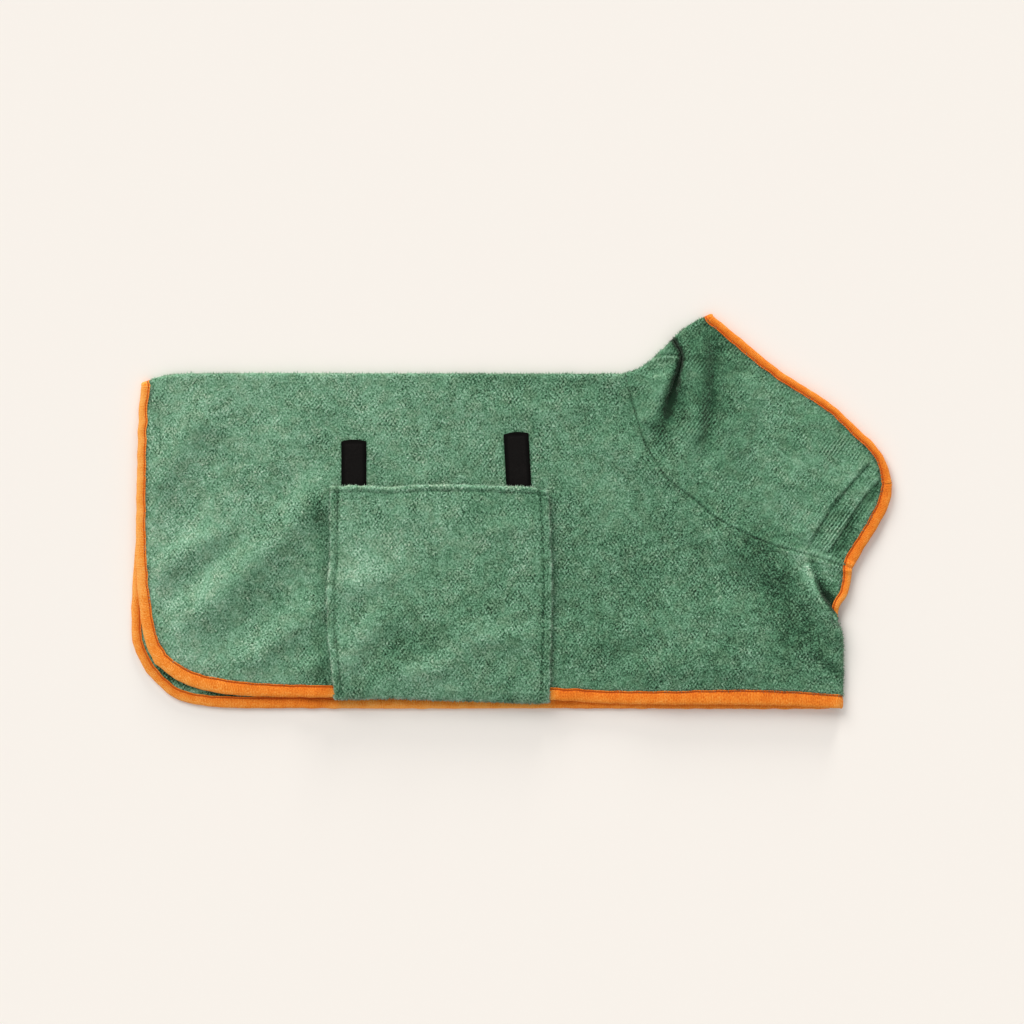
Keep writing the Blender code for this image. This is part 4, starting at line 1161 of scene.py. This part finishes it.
def eased(grid, spread, rounds):
    """Carries the highest places outwards and evens them out, so that nothing under them prints."""
    z = grid[..., 2].copy()
    for _ in range(spread):
        z = np.max([*neighbours(z), z], axis=0)
    for _ in range(rounds):
        z = sum(neighbours(z)) / 4
    grid[..., 2] = np.maximum(z, grid[..., 2])
    return grid


def strip_plan(strip, width, step, columns=9):
    """A strip's grid in plan: columns across it and rows from its low end to its top."""
    low, top = np.array([strip.low_x, strip.low_y]), np.array([strip.top_x, strip.top_y])
    along = top - low
    across = np.array([along[1], -along[0]]) / np.linalg.norm(along)
    rows = np.linspace(0, 1, int(round(np.linalg.norm(along) / step)) + 1)
    offsets = np.linspace(-width / 2, width / 2, columns)
    return np.array([[low + along * r + across * o for r in rows] for o in offsets])


def arched(plan):
    """Bows the strip's top edge up a little in its middle."""
    across = np.linspace(-1, 1, plan.shape[0])
    rise = np.linspace(0, 1, plan.shape[1])[None, :] ** 12
    plan[..., 1] += 1.8 * (1 - across[:, None] ** 2) * rise
    return plan


def tape_profile(shape):
    """The loop pile stands between the strip's woven edges, and dips at the stitches by its end."""
    across = np.abs(np.linspace(-LOOP_TAPE / 2, LOOP_TAPE / 2, shape[0]))[:, None]
    from_end = LOOP_STEP * np.arange(shape[1])[::-1][None, :]
    from_edge = LOOP_TAPE / 2 - across
    pile = 0.5 * ramp(from_edge, 0.8, 2.6) * ramp(from_end, 0.5, 3.0)
    return pile - 0.5 * bell(from_end - 2.2, 1.0)


def mark_edges(piece, strip):
    """How far each point is in from the strip's nearest edge, in millimetres."""
    points = read_points(piece)
    middle = np.array([(strip.low_x, strip.low_y), (strip.top_x, strip.top_y)])
    beside = distance_to(middle, points[:, 0], points[:, 1])
    top = strip.top_y + 1.5 - points[:, 1]
    mark(piece, "from_edge", np.minimum(LOOP_TAPE / 2 - beside, top))


def cut_strip(strip, top_y, low_y):
    """The part of a strip between two heights."""
    def x_at(y):
        share = (y - strip.low_y) / (strip.top_y - strip.low_y)
        return strip.low_x + (strip.top_x - strip.low_x) * share

    return Strip(x_at(top_y), top_y, x_at(low_y), low_y)


def across_flap(y):
    """The flap's left and right edge at a height."""
    section_y, left_x, right_x = np.transpose(FLAP_SECTIONS)
    return np.interp(y, section_y, left_x), np.interp(y, section_y, right_x)


def from_flap_edges(x, y):
    """How far in a point is from the flap's left, right and top edge."""
    left, right = across_flap(y)
    return x - left, right - x, height_along(FLAP_TOP, x) - y


def flap_plan(shares, rise):
    """Points of the flap, from its turn at rise 0 to its top edge at rise 1."""
    middle_x = FLAP_LEFT_X + (FLAP_RIGHT_X - FLAP_LEFT_X) * shares[:, None]
    low = height_along(FLAP_BOTTOM, middle_x) + FLAP_RADIUS + FLAP_TERRY / 2
    low = low + waves(FLAP_LOW_FRAY, middle_x, np.zeros_like(middle_x))
    y = low + (height_along(FLAP_TOP, middle_x) - low) * rise
    left, right = across_flap(y)
    x = left + (right - left) * shares[:, None]
    edge = 1 - ramp(np.minimum(shares, 1 - shares), 0.0, 0.03)[:, None]
    x = x + edge * waves(FLAP_SIDE_FRAY, x, y)
    y = y + ramp(rise, 0.975, 1.0) * waves(FLAP_TOP_FRAY, x, y)
    return np.stack([x, y], axis=-1)


def flap_details(x, y):
    """Turned hems: a rounded band along three edges, and a stitched groove on its inner side."""
    total = np.zeros_like(x)
    for distance, hem in zip(from_flap_edges(x, y), (FLAP_HEM, FLAP_HEM + 1, FLAP_TOP_HEM)):
        band = 0.8 * np.clip(1 - ((distance - hem / 2) / (hem / 2)) ** 2, 0, 1) ** 0.5
        groove = 1.2 * bell(distance - hem, 1.1)
        total += band - groove
    return total


def tape_tone_and_painted_light(x, y):
    """The tape is paler down the tail, round the corner, below the flap and on the chest.  Below the
    flap the paleness is painted light, which offsets the shade that the flap casts on the tape.
    """
    down_tail = (1 - ramp(x, -366.0, -300.0)) * ramp(y, -150.0, -20.0)
    round_corner = 1 - ramp(x, -330.0, -230.0)
    # Painted light: the tape below the flap is made paler to offset the flap's shade on it
    painted_light_below_flap = ramp(x, FLAP_LEFT_X - 6, FLAP_LEFT_X + 4)
    painted_light_below_flap *= 1 - ramp(x, FLAP_RIGHT_X - 4, FLAP_RIGHT_X + 6)
    painted_light_below_flap *= 1 - ramp(y, -150.0, -140.0)
    on_chest = ramp(x, 315.0, 325.0) * (1 - ramp(y, -62.0, -50.0))
    return 0.14 * down_tail + 0.12 * round_corner + 0.18 * painted_light_below_flap + 0.10 * on_chest


def flap_tone_and_painted_light(x, y):
    """The flap's tone: pale frayed edges, a darker line where the hem is stitched and a band just
    inside the side edges, both painted shade, and soft bands of tone, painted shade and painted
    highlights.
    """
    from_left, from_right, from_top = from_flap_edges(x, y)
    tone = tone_and_painted_light_at(x, y) + soft_bands(FLAP_NAP_AND_PAINTED_LIGHT, x, y)
    frayed = 0.5 + waves(FRAYED_PALENESS, x, y)
    for distance, hem, depth in ((from_left, FLAP_HEM, 0.18), (from_right, FLAP_HEM + 1, 0.22)):
        tone += 0.34 * frayed * bell(np.maximum(distance, 0), 1.3)
        # Painted shade in the stitched hem's groove and in a band just inside the edge
        tone -= depth * bell(distance - hem, 1.3)
        tone -= 0.06 * bell(distance - 3.2, 1.4)
    tone += 0.16 * bell(np.maximum(from_top, 0), 1.8)
    from_bottom = y - height_along(FLAP_BOTTOM, x)
    tone += 0.30 * frayed * bell(np.maximum(from_bottom, 0), 2.2)
    # Painted shade in the top hem's stitched groove
    return tone - 0.07 * bell(from_top - FLAP_TOP_HEM, 1.2)


def flap_grid(carriers):
    """From the hidden root down inside the coat, round the near hem and up the near side."""
    shares = np.linspace(0, 1, FLAP_COLUMNS)
    start = flap_plan(shares, np.array([0.0]))
    root_x = np.repeat(start[..., 0], FLAP_ROOT_ROWS, axis=1)
    root_y = np.linspace(FLAP_ROOT_Y, FLAP_ROOT_END_Y, FLAP_ROOT_ROWS)[None, :]
    root = np.stack(np.broadcast_arrays(root_x, root_y, FLAP_ROOT), axis=-1)
    turn = []
    for angle in np.radians(np.linspace(-90, 90, 13)):
        y = start[:, 0, 1] - FLAP_RADIUS * np.cos(angle)
        z = (FLAP_OVER_HEM + FLAP_TURN) / 2 + FLAP_RADIUS * np.sin(angle)
        turn.append(np.stack([start[:, 0, 0], y, np.full_like(y, z)], axis=-1))
    rise = np.linspace(0, 1, FLAP_ROWS)[2:]
    upper = laid_on(carriers, flap_plan(shares, rise), FLAP_TERRY, FLAP_REST)
    upper = eased(upper, FLAP_SPREAD, FLAP_ROUNDS)
    x, y = upper[..., 0], upper[..., 1]
    folds = relief(FLAP_CREASES, x, y) + waves(FLAP_WAVES, x, y) + FLAP_FULLNESS
    folds = np.clip(folds, 0.0, FLAP_MOST_RELIEF) * ramp(rise, 0.0, 0.12)
    upper[..., 2] += folds + flap_details(x, y) + FLAP_FULLNESS
    return np.concatenate([root, np.stack(turn, axis=1), upper], axis=1)


def tab_grid():
    middle_x = FRONT_X - TERRY / 2
    high = FRONT_LOW - SEAM - ROLL_END
    low = TERRY / 2
    radius = high - low
    turn = [(middle_x, high + ROLL_END)]
    turn += [
        (middle_x - radius * (1 - np.cos(a)), high - radius * np.sin(a))
        for a in np.radians(np.linspace(0, 90, 7))
    ]
    run = [(x, low) for x in np.linspace(middle_x - radius, TAB_TIP_X, 46)[1:]]
    ys = np.linspace(TAB_LOW_Y, TAB_TOP_Y, 10)
    return np.array([[(x, y, z) for y in ys] for x, z in turn + run])[::-1]


# --- materials ---


def linear(hex_colour):
    """An sRGB hex colour as linear red, green, blue and alpha."""
    parts = [int(hex_colour[k : k + 2], 16) / 255 for k in (1, 3, 5)]
    light = [c / 12.92 if c <= 0.04045 else ((c + 0.055) / 1.055) ** 2.4 for c in parts]
    return (*light, 1.0)


def add(tree, kind, links=None, stops=(), **settings):
    """Adds a node with its settings, input values and colour stops, and links it to other nodes'
    sockets.  A node given in the place of a socket stands for its first output."""
    made = tree.nodes.new("ShaderNode" + kind)
    for key, value in settings.items():
        if key.startswith("in_"):
            socket = key[3:].replace("_", " ")
            made.inputs[int(socket) if socket.isdigit() else socket].default_value = value
        else:
            setattr(made, key, value)
    for k, (place, colour) in enumerate(stops):
        stop = made.color_ramp.elements[k] if k < 2 else made.color_ramp.elements.new(place)
        stop.position, stop.color = place, linear(colour)
    for socket, source in (links or {}).items():
        source = source.outputs[0] if isinstance(source, bpy.types.Node) else source
        tree.links.new(source, made.inputs[socket])
    return made


def new_material(name, **finish):
    made = bpy.data.materials.new(name)
    made.use_nodes = True
    tree = made.node_tree
    tree.nodes.clear()
    shader = add(tree, "BsdfPrincipled", **finish)
    add(tree, "OutputMaterial", {"Surface": shader})
    return made, tree, shader


def in_millimetres(tree):
    place = add(tree, "TexCoord").outputs["Object"]
    return add(tree, "Mapping", {"Vector": place}, in_Scale=(1 / MM, 1 / MM, 1 / MM))


def rows_of_loops(tree, place, direction, shown):
    """Rows that follow each other in this direction, in degrees from X, as deep as they show."""
    turn, step = math.radians(direction), 2 * math.pi / LOOP_ROWS
    across = (math.cos(turn) * step, math.sin(turn) * step, 0.0)
    along = add(tree, "VectorMath", {0: place}, operation="DOT_PRODUCT", in_1=across)
    wave = add(tree, "Math", {0: along.outputs["Value"]}, operation="SINE")
    return add(tree, "Math", {0: wave, 1: shown}, operation="MULTIPLY")


def patches(tree, place, fineness, least, most):
    """Soft patches of this fineness per millimetre, between two values."""
    soft = add(tree, "TexNoise", {"Vector": place}, in_Scale=fineness, in_Detail=2.0)
    return add(tree, "MapRange", {"Value": soft}, in_1=0.38, in_2=0.62, in_3=least, in_4=most)


LOOP_SPACING = 1.8  # the terry's loops, drawn coarser than the real 1.2 mm so that they show
LOOP_ROWS = 3.1  # the knit's slanting rows of loops, drawn coarser than the real 1.8 mm
RISING_ROWS = 144.0  # directions in which the rows follow each other
FALLING_ROWS = 33.0


def terry_material(name, rising, falling, shallowest, deepest):
    """Warp-knitted microfibre terry, cropped and washed.  To the eye: a matt, deep green ground that
    only shows between the loops, pale fuzzy loop tips that line up in slanting rows here and there,
    and warmer patches of worn pile.  The colour follows the loops' height, so the deep ground is
    partly painted shade between the loops and the pale tips partly painted sheen; the stored tone
    adds painted shade and painted highlights."""
    finish, tree, shader = new_material(
        name,
        in_Roughness=0.95,
        in_Specular_IOR_Level=0.12,
        in_Sheen_Weight=0.30,
        in_Sheen_Roughness=0.5,
        in_Sheen_Tint=linear("#C4DCC6"),
    )
    mm = in_millimetres(tree)
    bend = add(tree, "TexNoise", {"Vector": mm}, in_Scale=0.22, in_Detail=2.0)
    links = {0: bend.outputs["Color"], 2: mm}
    loops_at = add(tree, "VectorMath", links, operation="MULTIPLY_ADD", in_1=(3.5, 3.5, 3.5))
    tall = add(tree, "Mapping", {"Vector": loops_at}, in_Scale=(1.0, 0.8, 1.0))
    loops = add(tree, "TexVoronoi", {"Vector": tall}, in_Scale=1 / LOOP_SPACING)
    fibres = add(tree, "TexNoise", {"Vector": tall}, in_Scale=0.66, in_Detail=2.0, in_Roughness=0.6)
    pile = add(tree, "Math", {0: fibres}, operation="MULTIPLY_ADD", in_1=1.5, in_2=-0.62)
    pile = add(tree, "Math", {0: loops, 2: pile}, operation="MULTIPLY_ADD", in_1=-0.26)
    for direction, depth in ((RISING_ROWS, rising), (FALLING_ROWS, falling)):
        shown = patches(tree, loops_at, 0.042, 0.2 * depth, depth)
        rows = rows_of_loops(tree, loops_at, direction, shown)
        pile = add(tree, "Math", {0: pile, 1: rows}, operation="ADD")
    depth = patches(tree, mm, 0.055, shallowest, deepest)
    pile = add(tree, "Math", {0: pile, 1: depth}, operation="MULTIPLY")
    ribbed = add(tree, "Attribute", attribute_name="ribbed").outputs["Fac"]
    ribs = rows_of_loops(tree, mm, RISING_ROWS, ribbed)
    pile = add(tree, "Math", {0: pile, 1: ribs}, operation="ADD")
    tone = add(tree, "Math", {0: pile}, operation="MULTIPLY_ADD", in_1=0.85, in_2=0.295)
    clumps = add(tree, "TexNoise", {"Vector": mm}, in_Scale=0.10, in_Detail=2.0)
    tone = add(tree, "Math", {0: clumps, 2: tone}, operation="MULTIPLY_ADD", in_1=0.30)
    # The stored tone: partly the pile's own, partly painted shade and painted highlights
    tone_and_painted_light = add(tree, "Attribute", attribute_name="tone_and_painted_light")
    for brushed in (patches(tree, mm, 0.033, -0.034, 0.034), tone_and_painted_light.outputs["Fac"]):
        tone = add(tree, "Math", {0: tone, 1: brushed}, operation="ADD")
    # Low pile is coloured darker and high pile paler: partly the fibre's own colour, partly painted
    # shade between the loops and painted sheen on their tips
    greens = (
        (0.0, "#15301F"), (0.18, "#2F583F"), (0.38, "#568667"),
        (0.62, "#81B093"), (0.85, "#ABD2B8"), (1.0, "#C9EAD3"),
    )
    colour = add(tree, "ValToRGB", {"Fac": tone}, stops=greens)
    links = {0: patches(tree, mm, 0.09, -0.15, 0.36), 6: colour}
    worn = add(tree, "Mix", links, data_type="RGBA", blend_type="MULTIPLY")
    worn.inputs[7].default_value = linear("#FFE0DC")
    tree.links.new(worn.outputs[2], shader.inputs["Base Color"])
    bump = add(tree, "Bump", {"Height": pile}, in_Strength=1.0, in_Distance=0.0012)
    tree.links.new(bump.outputs["Normal"], shader.inputs["Normal"])
    return finish


WAVE_TURN = 2 * math.pi / 20  # a wave texture's scale for bands one unit apart
TAPE_RIBS = 1.6  # cross ribs of the knitted tape, drawn twice as coarse as the real ones
STITCH_LINE = 7.2  # the stitched line's place in the binding's section
STITCH = 2.6  # length of one stitch


def binding_material():
    """Knitted polyester bias tape, dyed bright orange, folded and stitched on.  To the eye: matt with
    fine cross ribs, a darker groove where the stitches pull it in, paler on the rounded edges.  The
    groove's darkness is painted shade, the paler rounded edge a painted highlight with painted shade
    towards the inner edge, and the stored tone holds painted light below the flap."""
    finish, tree, shader = new_material(
        "Orange knitted polyester binding, matt",
        in_Roughness=0.85,
        in_Specular_IOR_Level=0.15,
        in_Sheen_Weight=0.2,
        in_Sheen_Tint=linear("#FFD2A0"),
    )
    uv = add(tree, "UVMap", uv_map="Tape")
    across = add(tree, "SeparateXYZ", {"Vector": uv}).outputs["Y"]
    ribs, stitches = (
        add(tree, "TexWave", {"Vector": uv}, in_Scale=WAVE_TURN / step, in_Distortion=bent)
        for step, bent in ((TAPE_RIBS, 2.5), (STITCH, 0.0))
    )
    ribs, stitches = ribs.outputs["Fac"], stitches.outputs["Fac"]
    weave = add(tree, "TexNoise", {"Vector": uv}, in_Scale=0.9, in_Detail=3.0)
    worn = patches(tree, uv, 0.09, 0.0, 0.12)
    # The stored tone, with painted light where the tape lies below the flap
    tone_and_painted_light = add(tree, "Attribute", attribute_name="tone_and_painted_light").outputs["Fac"]
    tone = add(tree, "Math", {0: weave, 2: worn}, operation="MULTIPLY_ADD", in_1=1.1)
    tone = add(tree, "Math", {0: ribs, 2: tone}, operation="MULTIPLY_ADD", in_1=0.14)
    # Painted highlight and painted shade across the tape: paler towards the rounded fold, darker
    # towards the inner edge
    paler = add(tree, "MapRange", {"Value": across}, in_1=7.5, in_2=0.5, in_3=-0.10, in_4=0.12)
    for added in (tone_and_painted_light, paler):
        tone = add(tree, "Math", {0: added, 1: tone}, operation="ADD")
    oranges = (
        (0.34, "#B2480E"), (0.54, "#D96A18"), (0.73, "#EA8024"),
        (0.91, "#F3973A"), (1.0, "#F6AC58"),
    )
    colour = add(tree, "ValToRGB", {"Fac": tone}, stops=oranges)
    # Painted shade in the stitched groove: the colour darkens to deep orange along the stitch line
    groove = add(tree, "Math", {0: across}, operation="SUBTRACT", in_1=STITCH_LINE)
    groove = add(tree, "Math", {0: groove}, operation="ABSOLUTE")
    groove = add(tree, "MapRange", {"Value": groove}, in_1=0.2, in_2=0.9)
    stitched = add(tree, "Mix", {0: groove, 7: colour}, data_type="RGBA")
    stitched.inputs[6].default_value = linear("#BC4A10")
    tree.links.new(stitched.outputs[2], shader.inputs["Base Color"])
    near_line = add(tree, "MapRange", {"Value": across}, in_1=6.4, in_2=STITCH_LINE, in_4=0.7)
    pulled = add(tree, "Math", {0: stitches, 1: near_line}, operation="MULTIPLY")
    surface = add(tree, "Math", {0: weave, 1: pulled}, operation="ADD")
    surface = add(tree, "Math", {0: ribs, 2: surface}, operation="MULTIPLY_ADD", in_1=0.6)
    bump = add(tree, "Bump", {"Height": surface}, in_Strength=0.6, in_Distance=0.0005)
    tree.links.new(bump.outputs["Normal"], shader.inputs["Normal"])
    return finish


def tape_material(name, fineness, strength):
    """Woven nylon hook and loop tape, dyed black.  To the eye: a dense fuzzy face that hardly
    reflects, a shade darker along its bare woven edges."""
    finish, tree, shader = new_material(name, in_Roughness=0.95, in_Specular_IOR_Level=0.1)
    mm = in_millimetres(tree)
    fuzz = add(tree, "TexNoise", {"Vector": mm}, in_Scale=fineness, in_Detail=4.0)
    edge = add(tree, "Attribute", attribute_name="from_edge").outputs["Fac"]
    pile = add(tree, "MapRange", {"Value": edge}, in_1=0.8, in_2=4.5)
    tone = add(tree, "Math", {0: fuzz, 1: pile}, operation="MULTIPLY")
    blacks = ((0.05, "#050504"), (0.40, "#0E0D0D"), (0.70, "#1C1A19"))
    colour = add(tree, "ValToRGB", {"Fac": tone}, stops=blacks)
    tree.links.new(colour.outputs["Color"], shader.inputs["Base Color"])
    bump = add(tree, "Bump", {"Height": fuzz}, in_Strength=strength, in_Distance=0.0006)
    tree.links.new(bump.outputs["Normal"], shader.inputs["Normal"])
    return finish


# --- the coat ---


def build_bindings(body, near_rows, collar, near_columns, orange):
    """Each edge has a tape on the near side and one on the far side, which meet at the fold."""
    middle = len(FOLD_ANGLES) // 2
    near_hem = np.vstack([body[0, near_rows + middle : 0 : -1], body[:, 0]])
    flat = len(near_hem) - len(ROLL_ANGLES)
    into = inward(near_hem[: flat + 1])
    into = np.vstack([into[:-1], np.tile([0.0, 1.0], (len(near_hem) - flat, 1))])
    tape = binding("hem_binding_near_tape", near_hem, into, NEAR_HEM_EDGE, orange, 1.0)
    pieces = {"hem_binding_near": tape}
    last = len(body) - len(ROLL_ANGLES) + 1
    far_hem = np.vstack([body[0, near_rows + middle : -1], body[:last, -1]])
    far_hem = parted(far_hem, SEAM, 0.0)
    tape = binding("hem_binding_far_tape", far_hem, inward(far_hem), FAR_HEM_EDGE, orange, 2.0)
    pieces["hem_binding_far"] = tape
    chest = body[-1, :near_rows][::-1]
    chest = chest[chest[:, 1] > CHEST_BOUND_Y][1:]
    rim = collar[: near_columns + middle + 1, 0][::-1]
    front = np.vstack([collar[0, 1:], chest])
    pieces.update(neck_bindings("near", rim, front, NEAR_NECK_EDGE, orange))
    rim = collar[near_columns + middle :, 0]
    pieces.update(neck_bindings("far", rim, collar[-1, 1:], FAR_NECK_EDGE, orange))
    return pieces


def neck_bindings(side, rim, front, edge, orange):
    path = np.vstack([rim, front])
    into = -inward(path)
    corner = len(rim) - 1
    rim_path = parted(path[: corner + 1], SEAM / 2, SEAM / 2)
    front_path = parted(path[corner:], SEAM / 2, 0.0)
    names = f"rim_binding_{side}", f"front_binding_{side}"
    seed = 3.0 if side == "near" else 5.0
    return {
        names[0]: binding(names[0] + "_tape", rim_path, into[: corner + 1], edge, orange, seed),
        names[1]: binding(names[1] + "_tape", front_path, into[corner:], edge, orange, seed + 1),
    }


def clear_of_tapes(points):
    x, y = points[:, 0], points[:, 1]
    return (beyond_near_tapes(x, y) > 1.5) & (beyond_far_tapes(x, y) > 1.5)


def strip_piece(node, grid, strip, finish):
    piece = cloth(f"{node}_strip", grid, LOOP_WALL, finish)
    mark_edges(piece, strip)
    return piece


def lay_strips(pieces, loop, hook):
    """Loop strips on the near side, and the flap's hook strips on them: all that lies below it."""
    under = [pieces["body"]]
    carriers = surface_of(under)
    for name, strip in LOOP_STRIPS.items():
        node = f"loop_tape_{name}"
        plan = arched(strip_plan(strip, LOOP_TAPE, LOOP_STEP, LOOP_COLUMNS))
        grid = smoothed(laid_on(carriers, plan, LOOP_WALL, STRIP_REST), LOOP_ROUNDS)
        grid[..., 2] += tape_profile(grid.shape)
        pieces[node] = strip_piece(node, grid, strip, loop)
        under.append(pieces[node])
    carriers = surface_of(under)
    for name, strip in LOOP_STRIPS.items():
        node = f"hook_tape_{name}"
        plan = strip_plan(cut_strip(strip, HOOK_TOP_Y, HOOK_LOW_Y), LOOP_TAPE, HOOK_STEP)
        grid = smoothed(laid_on(carriers, plan, LOOP_WALL, STRIP_REST), HOOK_ROUNDS)
        pieces[node] = strip_piece(node, grid, strip, hook)
        under.append(pieces[node])
    return under + [pieces["hem_binding_near"]]


def collar_hook_strip(hook):
    """The collar's hook strip lies between its near and its far side."""
    on_far_side = TERRY / 2 + COLLAR_HOOK_REST + LOOP_WALL / 2
    plan = strip_plan(COLLAR_HOOK, COLLAR_TAPE, COLLAR_HOOK_STEP)
    grid = raised_to(plan, lambda x, y: far_height(x, y) + on_far_side)
    return strip_piece("collar_hook_tape", grid, COLLAR_HOOK, hook)


def above_turn(points):
    return points[:, 2] > FLAP_TURN + 1


def add_pile(pieces):
    """Adds the tufts, and gives the number of points that each piece had without them."""
    without_tufts = {name: len(piece.data.vertices) for name, piece in pieces.items()}
    for name, (count, seed) in EDGE_TUFTS.items():
        wanted = above_turn if name == "belly_flap" else clear_of_tapes
        pile_on_edges(pieces[name], wanted, count, seed)
    for name, (count, seed) in TAPE_TUFTS.items():
        pile_over_tapes(pieces[name], count, seed)
    return without_tufts


def mark_tone_and_painted_light(pieces, without_tufts):
    """Stores the tone at each point, with its painted shade and painted highlights, paler on the tufts,
    and where ribs show.
    """
    for name, piece in pieces.items():
        points = read_points(piece)
        x, y = points[:, 0], points[:, 1]
        tone_and_painted_light = tape_tone_and_painted_light if "binding" in name else flap_tone_and_painted_light if name == "belly_flap" else tone_and_painted_light_at
        tone = tone_and_painted_light(x, y)
        tone[without_tufts.get(name, len(tone)) :] += TUFT_PALENESS
        mark(piece, "tone_and_painted_light", tone)
        mark(piece, "ribbed", soft_bands(RIBBED, x, y))


def build_coat():
    """Makes every piece, named for its node: panels, tapes and strips, then the flap over them."""
    terry = terry_material("Green microfibre terry, faint rows", 0.09, 0.09, 0.82, 1.28)
    collar_terry = terry_material("Green microfibre terry, clear rows", 0.14, 0.06, 0.60, 1.05)
    orange = binding_material()
    loop = tape_material("Black nylon loop tape, fuzzy", 1.4, 0.8)
    hook = tape_material("Black nylon hook tape, bristly", 0.8, 1.0)
    body, near_rows = body_grid()
    pieces = {"body": cloth("body_terry", body, TERRY, terry, share_of(body, np.s_[:, :near_rows]))}
    collar, near_columns = collar_grid()
    share = share_of(collar, np.s_[:near_columns])
    pieces["collar"] = cloth("collar_terry", collar, TERRY, collar_terry, share)
    pieces["chest_tab"] = cloth("chest_tab_terry", tab_grid(), TERRY, terry)
    pieces.update(build_bindings(body, near_rows, collar, near_columns, orange))
    for name, amount in LOOPINESS.items():
        tufted(pieces[name], amount)
    under_flap = surface_of(lay_strips(pieces, loop, hook))
    pieces["belly_flap"] = cloth("belly_flap_terry", flap_grid(under_flap), FLAP_TERRY, terry)
    tufted(pieces["belly_flap"], FLAP_LOOPINESS)
    without_tufts = add_pile(pieces)
    pieces["collar_hook_tape"] = collar_hook_strip(hook)
    mark_tone_and_painted_light(pieces, without_tufts)
    return pieces


def declare(pieces):
    """Ties each piece to the root and hides the part of its node."""
    for node, piece in pieces.items():
        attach(piece, "root")
        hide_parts(node)
    necks = [pieces[f"{part}_binding_{side}"] for part in ("rim", "front") for side in ("near", "far")]
    necks.append(pieces["collar_hook_tape"])


# --- floor, light and camera ---

VIEW_WIDTH = 1.024  # the photograph's frame, in metres at the coat's height
CAMERA_HEIGHT = 6.0
CAMERA_XY = (0.0005, -0.0005)  # half a pixel, so that a whole pixel lies on a whole millimetre
SENSOR = 36.0
FLOOR_SIZE = 30.0
Sun = namedtuple("Sun", "name azimuth elevation angle strength colour")
SUNS = [
    Sun("key", 124, 36, 38, 2.05, "#FFFBF6"),
    Sun("fill from the hem's side", 262, 50, 60, 0.55, "#FFFBF6"),
    Sun("low top light", 80, 12, 15, 1.9, "#FFF9F2"),
]
SKY = "#FFFDFB"
SKY_STRENGTH = 0.40


def build_floor():
    bpy.ops.object.select_all(action="DESELECT")
    bpy.ops.mesh.primitive_plane_add(size=FLOOR_SIZE, location=(0, 0, 0))
    floor = bpy.context.active_object
    floor.name = "floor"
    paper = {"in_Base_Color": linear("#F4F1ED"), "in_Roughness": 1.0, "in_Specular_IOR_Level": 0.0}
    floor.data.materials.append(new_material("Warm white paper, matt", **paper)[0])


def build_light():
    """Wide suns and an even sky, as in a photographer's tent.  Azimuths run from +X towards +Y."""
    for sun in SUNS:
        a, e = math.radians(sun.azimuth), math.radians(sun.elevation)
        towards = Vector((math.cos(a) * math.cos(e), math.sin(a) * math.cos(e), math.sin(e)))
        lamp = bpy.data.lights.new(sun.name, "SUN")
        lamp.angle = math.radians(sun.angle)
        lamp.energy = sun.strength
        lamp.color = linear(sun.colour)[:3]
        made = bpy.data.objects.new(sun.name, lamp)
        made.rotation_euler = (-towards).to_track_quat("-Z", "Y").to_euler()
        bpy.context.collection.objects.link(made)
    world = bpy.data.worlds.new("studio")
    world.use_nodes = True
    sky = world.node_tree.nodes["Background"]
    sky.inputs["Color"].default_value = linear(SKY)
    sky.inputs["Strength"].default_value = SKY_STRENGTH
    bpy.context.scene.world = world


def build_camera():
    lens = bpy.data.cameras.new("camera")
    lens.sensor_width = SENSOR
    lens.lens = SENSOR * CAMERA_HEIGHT / VIEW_WIDTH
    lens.clip_end = 100.0
    made = bpy.data.objects.new("camera", lens)
    made.location = (*CAMERA_XY, CAMERA_HEIGHT)
    bpy.context.collection.objects.link(made)
    bpy.context.scene.camera = made
    bpy.context.scene.view_settings.view_transform = "Standard"


coat = build_coat()
declare(coat)
build_floor()
build_light()
build_camera()
